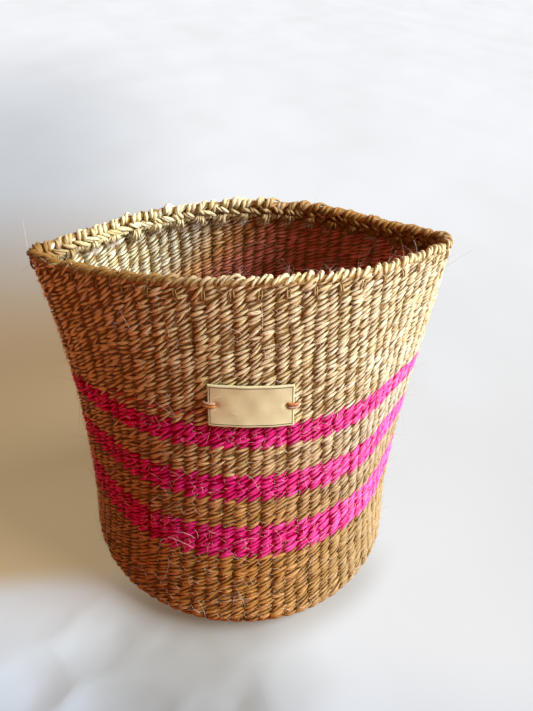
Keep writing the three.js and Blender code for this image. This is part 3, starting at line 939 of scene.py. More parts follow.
def floor_paper(finish):
    """A pale floor that keeps the basket's real shadow, with a painted warm tan shadow to the basket's
    left and the paper's painted light and shade. It throws only a dim warm light back."""
    stage = bpy.context.scene.basket_stage
    place = finish.place()
    sideways, forward, _ = finish.parts(place)
    folds = finish.noise(place, 2.6, 2.0, 0.4)
    plain = paper_tints(finish, place)
    # The tan patch is a painted shadow of the basket to its left, and shade is its mask
    past_edge = (forward + (folds - 0.5) * 0.05).ease(-0.064, -0.036)
    shade = past_edge * (1 - forward.ease(0.20, 0.75)) * (1 - sideways.ease(-0.12, 0.04))
    away = forward.ease(0.0, 0.24)
    painted_shadow_tan = finish.blend(away, (0.36, 0.28, 0.155), (0.20, 0.142, 0.074))
    paper = finish.blend(shade, finish.blend(1.0, stage.floor, plain, "MULTIPLY"), painted_shadow_tan)
    relief = finish.bump(folds, 0.5, 0.03, paper_creases(finish, place))
    sheet = finish.skin({"Base Color": paper, "Roughness": 0.9, "Normal": relief})
    # The glow carries the same painted shadow and the paper's painted light and shade
    glow_painted_shadow_tan = finish.blend(away, (1.0, 0.80, 0.45), (0.58, 0.42, 0.22))
    warm = finish.blend(shade, finish.blend(1.0, (0.92, 0.82, 0.64), plain, "MULTIPLY"), glow_painted_shadow_tan)
    glow = finish.node("ShaderNodeEmission", None, {"Color": warm, "Strength": 1.0})
    bright = finish.node("ShaderNodeMixShader", None, {0: 0.30, 1: sheet, 2: glow})
    dim = finish.skin({"Base Color": stage.bounce, "Roughness": 0.9})
    mixed = finish.node("ShaderNodeMixShader", None, {0: finish.seen(), 1: dim, 2: bright})
    return finish.surface(mixed)


def room_light(finish):
    """A dim warm room that the camera sees as pale."""
    stage = bpy.context.scene.basket_stage
    colour = finish.blend(finish.seen(), stage.dim, stage.room)
    background = finish.node("ShaderNodeBackground", None, {"Color": colour, "Strength": 1.0})
    return finish.surface(background, "ShaderNodeOutputWorld")


# Operators

class BASKET_OT_camera(bpy.types.Operator):
    """Places the camera as the photograph was taken."""

    bl_idname = "basket.camera"
    bl_label = "Camera"

    PICTURE_HEIGHT = 711
    FOCAL_PIXELS = 666.64
    # Distance to the basket's middle and height in metres, and the turns in radians
    DISTANCE = 0.36957
    HEIGHT = 0.40256
    SWING = 0.1686
    YAW = 0.0366
    PITCH = 0.6047
    ROLL = 0.0582
    SENSOR_HEIGHT = 24
    CLIP_START = 0.01

    def execute(self, context):
        data = bpy.data.cameras.new("Photograph camera")
        data.sensor_fit = "VERTICAL"
        data.sensor_height = self.SENSOR_HEIGHT
        data.lens = self.FOCAL_PIXELS * self.SENSOR_HEIGHT / self.PICTURE_HEIGHT
        data.clip_start = self.CLIP_START
        camera = bpy.data.objects.new("Photograph camera", data)
        heading = self.YAW + self.SWING
        ahead = Vector(
            (
                math.sin(heading) * math.cos(self.PITCH),
                math.cos(heading) * math.cos(self.PITCH),
                -math.sin(self.PITCH),
            )
        )
        level = Vector((math.cos(heading), -math.sin(heading), 0))
        upright = level.cross(ahead)
        right = math.cos(self.ROLL) * level + math.sin(self.ROLL) * upright
        up = math.cos(self.ROLL) * upright - math.sin(self.ROLL) * level
        turned = Matrix((right, up, -ahead)).transposed().to_4x4()
        place = Vector(
            (
                -self.DISTANCE * math.sin(self.SWING),
                -self.DISTANCE * math.cos(self.SWING),
                self.HEIGHT,
            )
        )
        camera.matrix_world = Matrix.Translation(place) @ turned
        context.scene.collection.objects.link(camera)
        context.scene.camera = camera
        return {"FINISHED"}


class BASKET_OT_stage(bpy.types.Operator):
    """Lays a plain pale floor that curves up behind, and sets the window's light and the room."""

    bl_idname = "basket.stage"
    bl_label = "Floor and lights"

    HALF_WIDTH = 7.0
    FRONT_EDGE = -5.0
    BEND_START = 4.0
    BEND_RADIUS = 1.5
    BEND_STATIONS = 16
    WALL_TOP = 5.0
    # The window's light: its turn from the right towards the back, climb and softness in degrees
    TURN = -14
    CLIMB = 31
    SOFTNESS = 40
    COLOUR = (0.98, 0.99, 1.0)

    def execute(self, context):
        bend = np.linspace(0, QUARTER_TURN, self.BEND_STATIONS)
        depth = [self.FRONT_EDGE, 0.0, *(self.BEND_START + self.BEND_RADIUS * np.sin(bend))]
        height = [0.0, 0.0, *(self.BEND_RADIUS * (1 - np.cos(bend)))]
        depth.append(depth[-1])
        height.append(self.WALL_TOP)
        rows = len(depth)
        left = np.stack([np.full(rows, -self.HALF_WIDTH), depth, height], axis=-1)
        points = np.concatenate([left, left * [-1, 1, 1]])
        step = np.arange(rows - 1)
        faces = np.stack([step, rows + step, rows + step + 1, step + 1], axis=-1)
        paper = made_once("Pale floor", floor_paper)
        floor = make_piece("pale_floor", points, faces, paper, None)
        self.hang_window(context)
        world = bpy.data.worlds.new("Room")
        context.scene.world = room_light(Finish(world))
        context.scene.view_settings.view_transform = "Standard"
        return {"FINISHED"}

    def hang_window(self, context):
        lamp = bpy.data.lights.new("Window", "SUN")
        lamp.energy = context.scene.basket_stage.key_strength
        lamp.angle = math.radians(self.SOFTNESS)
        lamp.color = self.COLOUR
        climb = math.radians(self.CLIMB)
        towards = Vector((math.cos(climb), 0, math.sin(climb)))
        towards = Matrix.Rotation(math.radians(self.TURN), 3, "Z") @ towards
        hung = bpy.data.objects.new("Window", lamp)
        hung.rotation_euler = towards.to_track_quat("Z", "Y").to_euler()
        context.scene.collection.objects.link(hung)


class BASKET_OT_base(bpy.types.Operator):
    """Twines the round base from its start knot out to the heel."""

    bl_idname = "basket.base"
    bl_label = "Base"

    # Rows of weft, counted down from the wall's foot to the middle of the base
    KNOT_START = -37
    KNOT_MIDDLE = -35
    KNOT_END = -32
    SPLIT_ROW = -26
    INNER_END = -16
    OUTER_END = -1
    # Ribs of the knot's two parts, which grow in number as the rounds widen
    KNOT_RIBS = (4, 10)

    def execute(self, context):
        tub = the_tub()
        weave = the_weave()
        rng = random_run(100)
        look = (natural_sisal(), "natural_sisal")
        ribs = weave.rib_count
        few, more = self.KNOT_RIBS
        rounds = (
            (
                "base_start_knot_twining",
                "base_start_knot",
                (
                    (self.KNOT_START, self.KNOT_MIDDLE, few),
                    (self.KNOT_MIDDLE, self.KNOT_END, more),
                ),
            ),
            (
                "base_inner_twining",
                "base_inner_rounds",
                (
                    (self.KNOT_END, self.SPLIT_ROW, ribs // 4 + 1),
                    (self.SPLIT_ROW, self.INNER_END, ribs // 2),
                ),
            ),
            ("base_outer_twining", "base_outer_rounds", ((self.INNER_END, self.OUTER_END, ribs),)),
            ("heel_twining", "heel_turn", ((FIRST_HEEL_ROW, FIRST_WALL_ROW, ribs),)),
        )
        for name, node, parts in rounds:
            bundles = [
                twined_strands(tub, weave, row_travels(tub, weave, first, last), count, rng)
                for first, last, count in parts
            ]
            strand_piece(name, bundles, look, [node])
        return {"FINISHED"}


class BASKET_OT_wall(bpy.types.Operator):
    """Twines the wall's undyed bands and dyed stripes."""

    bl_idname = "basket.wall"
    bl_label = "Wall"

    # The short row's ends, to the right of the front's middle
    SHORT_START = -0.1105
    SHORT_END = -0.0405
    # Row at which the upper wall is parted into two pieces
    HALF_WAY = 69

    def execute(self, context):
        tub = the_tub()
        weave = the_weave()
        rng = random_run(0)
        ribs = weave.rib_count
        natural = (natural_sisal(), "natural_sisal")
        pink = (pink_sisal(), "pink_sisal")

        def rows(first, last):
            return twined_strands(tub, weave, row_travels(tub, weave, first, last), ribs, rng)

        low, middle, high = STRIPE_STARTS
        low_end, middle_end, high_end = STRIPE_ENDS
        bands = (
            ("wall_lower_twining", FIRST_WALL_ROW, low, natural, "wall_natural_lower"),
            ("stripe_lower_twining", low, low_end, pink, "stripe_pink_lower"),
            ("wall_lower_gap_twining", low_end, middle, natural, "wall_natural_lower_gap"),
            ("stripe_middle_twining", middle, middle_end, pink, "stripe_pink_middle"),
            ("wall_upper_gap_twining", middle_end, high, natural, "wall_natural_upper_gap"),
            ("stripe_upper_twining", high, high_end, pink, "stripe_pink_upper"),
        )
        for name, first, last, look, node in bands:
            strand_piece(name, [rows(first, last)], look, [node])
        level = (SHORT_ROW + 0.5) * weave.row_pitch
        start, end = (
            round(ribs * float(tub.turn_at(level, place))) + 0.5
            for place in (self.SHORT_START, self.SHORT_END)
        )
        short_travel = row_travels(tub, weave, SHORT_ROW, SHORT_ROW + 1)
        rest = twined_strands(tub, weave, short_travel, ribs, rng, end, start + ribs)
        dyed = twined_strands(tub, weave, short_travel, ribs, rng, start, end)
        lower = [rows(high_end, SHORT_ROW), rest, rows(SHORT_ROW + 1, self.HALF_WAY)]
        upper = [rows(self.HALF_WAY, TOP_ROW)]
        strand_piece("wall_upper_twining_low", lower, natural, ["wall_natural_upper"])
        strand_piece("wall_upper_twining_high", upper, natural, ["wall_natural_upper"])
        faded = (faded_pink_sisal(), "pink_sisal")
        strand_piece("short_row_twining", [dyed], faded, ["pink_short_row"])
        return {"FINISHED"}


class BASKET_OT_warps(bpy.types.Operator):
    """Lays the warps inside the weft, from the middle of the base out and up to the rim."""

    bl_idname = "basket.warps"
    bl_label = "Warps"

    STATIONS = 128
    SIDES = 6
    # Half the width of a warp as a share of a rib, its half depth and its stop short of each end
    HALF_WIDTH = 0.75
    HALF_DEPTH = 0.0009
    END_GAP = 0.004
    GIRTH = 0.007

    def execute(self, context):
        tub = the_tub()
        weave = the_weave()
        ribs = weave.rib_count
        top = tub.travel_of(tub.height - self.END_GAP)
        travel = np.linspace(self.END_GAP, top, self.STATIONS)
        rib = np.arange(ribs)[:, None]
        turn = (rib + rib_wander(travel[None, :], rib)) / ribs
        paths = tub.shell(travel[None, :], turn, tub.middle)
        around = FULL_TURN * np.arange(self.SIDES) / self.SIDES
        wide = turn[..., None] + self.HALF_WIDTH / ribs * np.cos(around)
        deep = tub.middle - self.HALF_DEPTH * np.sin(around)
        points = tub.shell(travel[None, :, None], wide, deep)
        layout = (ribs, self.STATIONS, self.SIDES, False)
        rng = random_run(5)
        row = (travel - tub.travel_of(0)) / weave.row_pitch
        dyed = sum((row > start) & (row < end) for start, end in zip(STRIPE_STARTS, STRIPE_ENDS))
        values = {"dyed": np.tile(np.repeat(dyed.astype(float), self.SIDES), ribs)}
        look = (made_once("Warp sisal", warp_sisal), "natural_sisal")
        sizes = (layout, path_lengths(paths), self.GIRTH)
        tube_piece("upright_warps", points, *sizes, rng, look, values)
        return {"FINISHED"}


# Rim

YARN_SIDES = 8
YARN_GIRTH = 0.0075
YARN_TONE_SPREAD = 0.12
THINNEST_TIP = 0.004
TIP_SHARE = 0.1
SIDE_STEP = 0.002


def rounded_ends(stations, share):
    """Radii that close both ends of a tube: a half circle over the first and last share."""
    place = np.linspace(0, 1, stations)
    inside = np.clip(np.minimum(place, 1 - place) / share, 0, 1)
    return np.sqrt(np.clip(1 - (1 - inside) ** 2, THINNEST_TIP, 1))


def lay_yarns(name, turn, level, depth, radii, shade, crest, rng, node):
    """One piece of short round yarns along the wall, with a row of the arrays for each yarn: its
    shade, and its crest value at each station."""
    tub = the_tub()
    radii, turn, level, depth = np.broadcast_arrays(radii, turn, level, depth)
    yarns, stations = radii.shape
    paths = tub.wall(level, turn, depth)
    reference = tub.wall(level, turn + SIDE_STEP, depth) - paths
    radii = radii * rounded_ends(stations, TIP_SHARE)
    points = sweep_tubes(paths, radii, reference, YARN_SIDES)
    ring = stations * YARN_SIDES
    tone = rng.normal(0.5, YARN_TONE_SPREAD, yarns)
    values = {
        "stitch": np.repeat(np.clip(shade, 0, 1).ravel(), ring),
        "strand": np.repeat(np.clip(tone, 0, 1), ring),
        "crest": np.tile(np.repeat(crest.ravel(), YARN_SIDES), yarns),
        "inside": np.zeros(yarns * ring),
    }
    sizes = ((yarns, stations, YARN_SIDES, False), path_lengths(paths), YARN_GIRTH)
    tube_piece(name, points, *sizes, rng, (rim_sisal(), "pale_sisal"), values, [node])


class BASKET_OT_border(bpy.types.Operator):
    """Turns the doubled warps over the rim round a core, one leaning knob of two yarns to a rib,
    with a row of short stitches under the knobs on the inner side."""

    bl_idname = "basket.border"
    bl_label = "Border knobs"

    STATIONS = 15
    YARN_RADIUS = 0.00112
    YARN_SPACING = 0.47
    # How much closer a knob's two yarns lie on its inner side
    CLOSING = 0.42
    TOP_LEVEL = 0.2287
    OUTER_DROP = 0.0027
    INNER_DROP = 0.0048
    OUTER_HALF = 0.0027
    INNER_HALF = 0.0036
    LEAN_START = -0.62
    LEAN_TOP = 0.05
    LEAN_END = 0.50
    # Thickness of a knob's yarn at its ends, and what its top and its inner belly add
    SWELL = (0.50, 0.42, 0.55)
    SWELL_POWER = 0.6
    KNOB_SHADE = 0.48
    # Crest value at a yarn's ends, and what its middle adds: the sisal paints the middle lighter as a
    # painted highlight and the ends darker as painted shade
    KNOB_CREST = (0.48, 0.47)
    CREST_POWER = 0.5
    # Unevenness of a knob as a whole and of each of its two yarns, as shares or in metres
    KNOB_SPREADS = {
        "drop": (0.06, 0.06),
        "half": (0.08, 0.05),
        "start": (0.12, 0.16),
        "end": (0.15, 0.2),
        "turn": (0.06, 0.05),
        "level": (0.0004, 0.0006),
        "depth": (0.0002, 0.0004),
        "radius": (0.06, 0.08),
        "shade": (0.18, 0.26),
    }
    BRAID_TOP = 0.2250
    BRAID_FALL = 0.0044
    BRAID_RADIUS = 0.00125
    # How deep the inner stitches' ends sink into the wall, and how far their middles bulge
    BRAID_SINK = 0.0002
    BRAID_BULGE = 0.0014
    BRAID_SLANT = 0.45
    BRAID_SPACING = 0.24
    BRAID_SHADE = 0.44
    # Crest value at an inner stitch's ends, and what its middle adds: painted shade at the ends,
    # painted highlight at the middle
    BRAID_CREST = (0.44, 0.48)
    # Thickness of an inner stitch at its ends, and what its middle adds
    BRAID_SWELL = (0.55, 0.45)
    BRAID_POWER = 0.7
    BRAID_SPREADS = {
        "level": (0.0003, 0.0004),
        "depth": (0.0002, 0.0003),
        "slant": (0.2, 0.2),
        "turn": (0.05, 0.05),
        "radius": (0.08, 0.10),
        "shade": (0.2, 0.26),
    }
    CORE_LEVEL = 0.2262
    CORE_HALF_HEIGHT = 0.0022
    CORE_HALF_DEPTH = 0.0022
    CORE_BUMPS = 0.08
    CORE_STATIONS = 304
    CORE_GIRTH = 0.014

    def execute(self, context):
        tub = the_tub()
        weave = the_weave()
        ribs = weave.rib_count
        rng = random_run(11)
        share = np.linspace(0, 1, self.STATIONS)[None, :]
        angle = math.pi * share
        knob = np.repeat(np.arange(ribs), 2)[:, None]
        side = np.tile([-0.5, 0.5], ribs)[:, None]

        def uneven(spread):
            together, alone = spread
            knobs = np.repeat(rng.normal(0, together, (ribs, 1)), 2, axis=0)
            return knobs + rng.normal(0, alone, (ribs * 2, 1))

        spreads = self.KNOB_SPREADS
        outer = share < 0.5
        drop = np.where(outer, self.OUTER_DROP, self.INNER_DROP * (1 + uneven(spreads["drop"])))
        half = np.where(outer, self.OUTER_HALF, self.INNER_HALF * (1 + uneven(spreads["half"])))
        start = (self.LEAN_START - self.LEAN_TOP) * (1 - 2 * share) * (1 + uneven(spreads["start"]))
        end = (self.LEAN_END - self.LEAN_TOP) * (2 * share - 1) * (1 + uneven(spreads["end"]))
        lean = self.LEAN_TOP + np.where(outer, start, end)
        spacing = self.YARN_SPACING * (1 - self.CLOSING * share)
        turn = (knob + lean + spacing * side + uneven(spreads["turn"])) / ribs
        level = self.TOP_LEVEL + uneven(spreads["level"]) - drop * (1 - np.sin(angle))
        depth = tub.middle - half * np.cos(angle) + uneven(spreads["depth"])
        belly = np.clip(np.sin(2 * angle - math.pi), 0, 1)
        thin, top, bulge = self.SWELL
        swell = thin + top * np.sin(angle) ** self.SWELL_POWER + bulge * belly
        radii = self.YARN_RADIUS * (1 + uneven(spreads["radius"])) * swell
        shade = self.KNOB_SHADE + uneven(spreads["shade"])
        crest = self.KNOB_CREST[0] + self.KNOB_CREST[1] * np.sin(angle) ** self.CREST_POWER
        knobs = (turn, level, depth, radii, shade, crest)
        lay_yarns("rim_border_yarns", *knobs, rng, "rim_border_loops")

        spreads = self.BRAID_SPREADS
        level = self.BRAID_TOP + uneven(spreads["level"]) - self.BRAID_FALL * share
        bow = np.sin(angle) ** self.BRAID_POWER
        face = tub.thickness - self.BRAID_SINK
        depth = face + self.BRAID_BULGE * bow + uneven(spreads["depth"])
        slant = self.BRAID_SLANT - 2 * self.BRAID_SLANT * share
        lean = 0.5 + slant * (1 + uneven(spreads["slant"]))
        turn = (knob + lean + self.BRAID_SPACING * side + uneven(spreads["turn"])) / ribs
        swell = self.BRAID_SWELL[0] + self.BRAID_SWELL[1] * bow
        radii = self.BRAID_RADIUS * (1 + uneven(spreads["radius"])) * swell
        shade = self.BRAID_SHADE + uneven(spreads["shade"])
        crest = self.BRAID_CREST[0] + self.BRAID_CREST[1] * bow
        stitches = (turn, level, depth, radii, shade, crest)
        lay_yarns("rim_inner_stitches", *stitches, rng, "rim_inner_braid")
        self.make_core(tub, ribs, rng)
        return {"FINISHED"}

    def make_core(self, tub, ribs, rng):
        """The warps' bent ends under the loops: a closed tube of oval section round the rim."""
        turn = np.arange(self.CORE_STATIONS)[None, :, None] / self.CORE_STATIONS
        around = FULL_TURN * np.arange(YARN_SIDES) / YARN_SIDES
        bumps = 1 + self.CORE_BUMPS * np.sin(FULL_TURN * ribs * turn)
        level = self.CORE_LEVEL + self.CORE_HALF_HEIGHT * bumps * np.cos(around)
        depth = tub.middle + self.CORE_HALF_DEPTH * bumps * np.sin(around)
        points = tub.wall(level, turn, depth)
        layout = (1, self.CORE_STATIONS, YARN_SIDES, True)
        lengths = np.array([float(tub.perimeter(self.CORE_LEVEL))])
        count = self.CORE_STATIONS * YARN_SIDES
        # A low crest value: the sisal paints the core with full painted shade, as it lies under the
        # loops
        plain = {"stitch": 0.3, "strand": 0.4, "crest": 0.3, "inside": 0.0}
        values = {key: np.full(count, value) for key, value in plain.items()}
        look = (natural_sisal(), "natural_sisal")
        tube_piece("rim_core", points, layout, lengths, self.CORE_GIRTH, rng, look, values)


class BASKET_OT_cut_ends(bpy.types.Operator):
    """Hangs the warps' cut ends in a ragged row under the rim's inner side."""

    bl_idname = "basket.cut_ends"
    bl_label = "Cut warp ends"

    YARNS = 14
    STATIONS = 8
    RADIUS = 0.00060
    TOP_LEVEL = 0.2215
    LENGTH = 0.0072
    FAN = 0.26
    LEAN = 0.30
    ROOT_DEPTH = 0.0052
    BULGE = 0.0033
    # Length of every second tuft as a share of its neighbours'
    SHORTER = 0.55
    # How much a tuft's fan widens to its tips, and its bulge flattens to its sides
    FANNING = 1.3
    FLATTENING = 0.35
    # Range of the tufts' sizes, and the unevenness of each yarn, as shares or in metres
    TUFT_SIZES = (0.65, 1.15)
    SPREADS = {
        "length": 0.16,
        "level": 0.0003,
        "turn": 0.12,
        "bulge": 0.25,
        "radius": 0.15,
        "shade": 0.25,
    }
    SHADE = 0.55
    # Crest value at a yarn's ends, and what its bulge adds: painted shade at the ends, painted
    # highlight on the bulge
    CREST = (0.25, 0.70)
    # Thickness of a yarn at its root, and what it loses to its tip
    TAPER = (1.1, 0.3)

    def execute(self, context):
        weave = the_weave()
        ribs = weave.rib_count
        yarns = ribs * self.YARNS
        rng = random_run(13)
        share = np.linspace(0, 1, self.STATIONS)[None, :]
        tuft = np.repeat(np.arange(ribs), self.YARNS)[:, None]
        side = np.tile(np.linspace(-1, 1, self.YARNS), ribs)[:, None]
        size = np.repeat(rng.uniform(*self.TUFT_SIZES, (ribs, 1)), self.YARNS, axis=0)
        size = np.where(tuft % 2 == 0, size, self.SHORTER * size)

        def uneven(kind):
            return rng.normal(0, self.SPREADS[kind], (yarns, 1))

        length = self.LENGTH * size * (1 + uneven("length"))
        level = self.TOP_LEVEL + uneven("level") - length * share
        fan = self.FAN * side * (1 + self.FANNING * share)
        turn = (tuft + 0.5 + fan + self.LEAN * share + uneven("turn") * share) / ribs
        bow = np.sin(math.pi * share**0.8)
        bulge = self.BULGE * size * (1 + uneven("bulge")) * bow**0.7
        depth = self.ROOT_DEPTH + bulge * (1 - self.FLATTENING * side**2)
        radii = self.RADIUS * (1 + uneven("radius")) * (self.TAPER[0] - self.TAPER[1] * share)
        shade = self.SHADE + uneven("shade")
        ends = (turn, level, depth, radii, shade, self.CREST[0] + self.CREST[1] * bow)
        lay_yarns("rim_cut_ends", *ends, rng, "rim_inner_braid")
        return {"FINISHED"}


class BASKET_OT_tucked_ends(bpy.types.Operator):
    """Tucks a pair of thin warp ends down the valley after every second rib."""

    bl_idname = "basket.tucked_ends"
    bl_label = "Tucked warp ends"

    STATIONS = 9
    RADIUS = 0.00046
    TOP = 0.2242
    LENGTH = 0.0060
    SPACING = 0.0015
    BOWED_APART = 0.0003
    # Depth of a pair's ends, and how far its middle stands out of the wall from there
    ROOT_DEPTH = 0.0009
    BULGE = 0.0012
    # Ranges of the lengths as shares and of the shades, and spreads in metres at the tips
    LENGTHS = (0.75, 1.1)
    SHADES = (0.0, 0.6)
    TILT_SPREAD = 0.0007
    SPACING_SPREAD = 0.00015
    # Crest value at a yarn's ends, and what its middle adds: painted shade at the ends, painted
    # highlight at the middle
    CREST = (0.30, 0.35)

    def execute(self, context):
        tub = the_tub()
        ribs = the_weave().rib_count
        rng = random_run(17)
        share = np.linspace(0, 1, self.STATIONS)[None, :]
        bow = np.sin(math.pi * share)
        side = np.array([[-0.5], [0.5]])
        pitch = float(tub.perimeter(self.TOP)) / ribs
        for number in range(ribs // 2):
            length = self.LENGTH * rng.uniform(*self.LENGTHS, (2, 1))
            level = self.TOP - length * share
            tilt = rng.normal(0, self.TILT_SPREAD) * share
            offset = side * self.SPACING + tilt + rng.normal(0, self.SPACING_SPREAD, (2, 1))
            offset = offset + self.BOWED_APART * bow * side
            turn = (2 * number + 0.5 + offset / pitch) / ribs
            depth = self.ROOT_DEPTH - self.BULGE * bow**0.5
            shade = rng.uniform(*self.SHADES, (2, 1))
            crest = self.CREST[0] + self.CREST[1] * bow
            pair = (turn, level, depth, self.RADIUS, shade, crest)
            node = f"tucked_warp_ends_{number + 1:02d}"
            lay_yarns(f"tucked_pair_{number + 1:02d}", *pair, rng, node)
        return {"FINISHED"}


class BASKET_OT_label(bpy.types.Operator):
    """Lays the leather label over the ribs, with soft cut edges and a pull at each stitch."""

    bl_idname = "basket.label"
    bl_label = "Label"

    WIDTH = 0.050
    HEIGHT = 0.025
    THICKNESS = 0.0016
    OFFSET = -0.0105
    LOW = 0.1475
    GAP = 0.0003
    EDGE_RADIUS = 0.0006
    COLUMNS = 100
    ROWS = 52
    HOLE_FROM_EDGE = 0.0042
    TILT = -0.038
    LINE_FROM_EDGE = 0.0014
    # How far the grid crowds towards the label's edges, from 0 for not at all
    CROWDING = 0.35
    # How far the label is drawn out round a stitch hole, and the width and height of that spot
    PULL = 0.0008
    PULL_WIDTH = 0.0022
    PULL_HEIGHT = 0.0018
    CURL = 0.0005
    RIPPLE = 0.00012
    RIPPLE_LENGTHS = (0.0026, 0.004)
    # Room that the face and the back each take up in the bake map, with a gap round them
    BAKE_SIZE = (0.98, 0.48)
    BAKE_CORNERS = ((0.01, 0.01), (0.01, 0.51))

    def execute(self, context):
        tub = the_tub()
        half_width = self.WIDTH / 2
        half_height = self.HEIGHT / 2
        across = self.spaced(self.COLUMNS) * half_width
        up = self.spaced(self.ROWS) * half_height
        x, y = np.meshgrid(across, up, indexing="ij")
        edge = np.minimum(half_width - np.abs(x), half_height - np.abs(y))
        inside = np.clip(edge / self.EDGE_RADIUS, 0, 1)
        half = self.THICKNESS / 2 * np.sqrt(np.clip(1 - (1 - inside) ** 2, 0, 1))
        from_hole = (np.abs(x) - (half_width - self.HOLE_FROM_EDGE)) / self.PULL_WIDTH
        pull = self.PULL * np.exp(-(from_hole**2) - (y / self.PULL_HEIGHT) ** 2)
        curl = self.CURL * (np.abs(y) / half_height) ** 3
        ripple_x, ripple_y = self.RIPPLE_LENGTHS
        ripple = self.RIPPLE * np.sin(x / ripple_x) * np.cos(y / ripple_y)
        rest = -self.GAP - self.THICKNESS / 2 - curl - ripple
        level = self.LOW + half_height + y + self.TILT * x
        turn = tub.turn_at(level, self.OFFSET + x)
        front = tub.wall(level, turn, rest - half + pull)
        back = tub.wall(level, turn, rest + half)
        points, faces, corners = self.join_sheets(front, back)
        flat = np.stack([x, y], axis=-1).reshape(-1, 2)
        shares = flat / [self.WIDTH, self.HEIGHT] + 0.5
        bake = np.concatenate([shares * self.BAKE_SIZE + corner for corner in self.BAKE_CORNERS])
        uvs = {"OFBake": bake[corners], "Face": np.concatenate([flat, flat])[corners]}
        look = (made_once("Label leather", label_leather), "label_leather")
        make_piece("leather_label_sewn", points, faces, *look, uvs, None, ["leather_label"])
        return {"FINISHED"}

    def spaced(self, count):
        """Places from -1 to 1 that crowd towards both ends."""
        even = np.linspace(-1, 1, count)
        return np.sin(even * QUARTER_TURN) * self.CROWDING + even * (1 - self.CROWDING)

    @staticmethod
    def join_sheets(front, back):
        """Two sheets of one grid joined along their edges, where they meet."""
        columns, rows = front.shape[:2]
        grid = np.arange(columns * rows).reshape(columns, rows)
        rim = np.zeros((columns, rows), bool)
        rim[[0, -1], :] = True
        rim[:, [0, -1]] = True
        behind = np.where(rim, grid, grid + columns * rows)

        def quads(index):
            return np.stack(
                [index[:-1, :-1], index[1:, :-1], index[1:, 1:], index[:-1, 1:]], axis=-1
            ).reshape(-1, 4)

        corners = np.concatenate([quads(grid), quads(grid + columns * rows)[:, ::-1]])
        faces = np.concatenate([quads(grid), quads(behind)[:, ::-1]])
        points = np.concatenate([front.reshape(-1, 3), back.reshape(-1, 3)])
        used, renumbered = np.unique(faces, return_inverse=True)
        return points[used], renumbered.reshape(faces.shape), corners


class BASKET_OT_stitches(bpy.types.Operator):
    """Sews the label's two sides down, each with an orange and a white thread side by side."""

    bl_idname = "basket.stitches"
    bl_label = "Label stitches"

    STATIONS = 17
    SIDES = 8
    GIRTH = 0.005
    INSIDE_EDGE = 0.0042
    OUTSIDE_EDGE = 0.0024
    TOP = 0.00255
    ROOT_DEPTH = 0.0002
    THREAD_TILT = 0.00035
    # Each thread's place above the middle, its radius and its paleness: the orange, the white
    THREADS = ((-0.00072, 0.00105, 0.0), (0.00105, 0.00078, 1.0))
    # A power under 1 squares the thread's half circle towards a staple
    SQUARENESS = 2 / 3
    TIP_SHARE = 0.06
    # A step in metres that shows which way is up the wall
    LEVEL_STEP = 0.001

    def execute(self, context):
        tub = the_tub()
        rng = random_run(23)
        label = BASKET_OT_label
        middle = label.LOW + label.HEIGHT / 2
        span = (self.INSIDE_EDGE + self.OUTSIDE_EDGE) / 2
        beyond_edge = (self.OUTSIDE_EDGE - self.INSIDE_EDGE) / 2
        angle = math.pi * np.linspace(0, 1, self.STATIONS)
        sweep = np.sign(np.cos(angle)) * np.abs(np.cos(angle)) ** self.SQUARENESS
        rise = np.sin(angle) ** self.SQUARENESS
        height, radius, pale = np.array(self.THREADS).T
        values = {"pale": np.repeat(pale, self.STATIONS * self.SIDES)}
        look = (made_once("Stitch thread", stitch_thread), "stitch_thread")
        for name, side in (("left", -1), ("right", 1)):
            centre = label.OFFSET + side * (label.WIDTH / 2 + beyond_edge)
            distance = centre - side * span * sweep
            turned = middle + label.TILT * side * label.WIDTH / 2
            level = turned - side * height[:, None] + self.THREAD_TILT * side * sweep[None, :]
            turn = tub.turn_at(level, distance[None, :])
            depth = self.ROOT_DEPTH - self.TOP * rise[None, :] + 0 * level
            paths = tub.wall(level, turn, depth)
            reference = tub.wall(level + self.LEVEL_STEP, turn, depth) - paths
            radii = radius[:, None] * rounded_ends(self.STATIONS, self.TIP_SHARE)[None, :]
            points = sweep_tubes(paths, radii, reference, self.SIDES)
            layout = (len(self.THREADS), self.STATIONS, self.SIDES, False)
            sizes = (layout, path_lengths(paths), self.GIRTH)
            node = f"label_stitch_{name}"
            tube_piece(f"label_thread_{name}", points, *sizes, rng, look, values, [node])
        return {"FINISHED"}


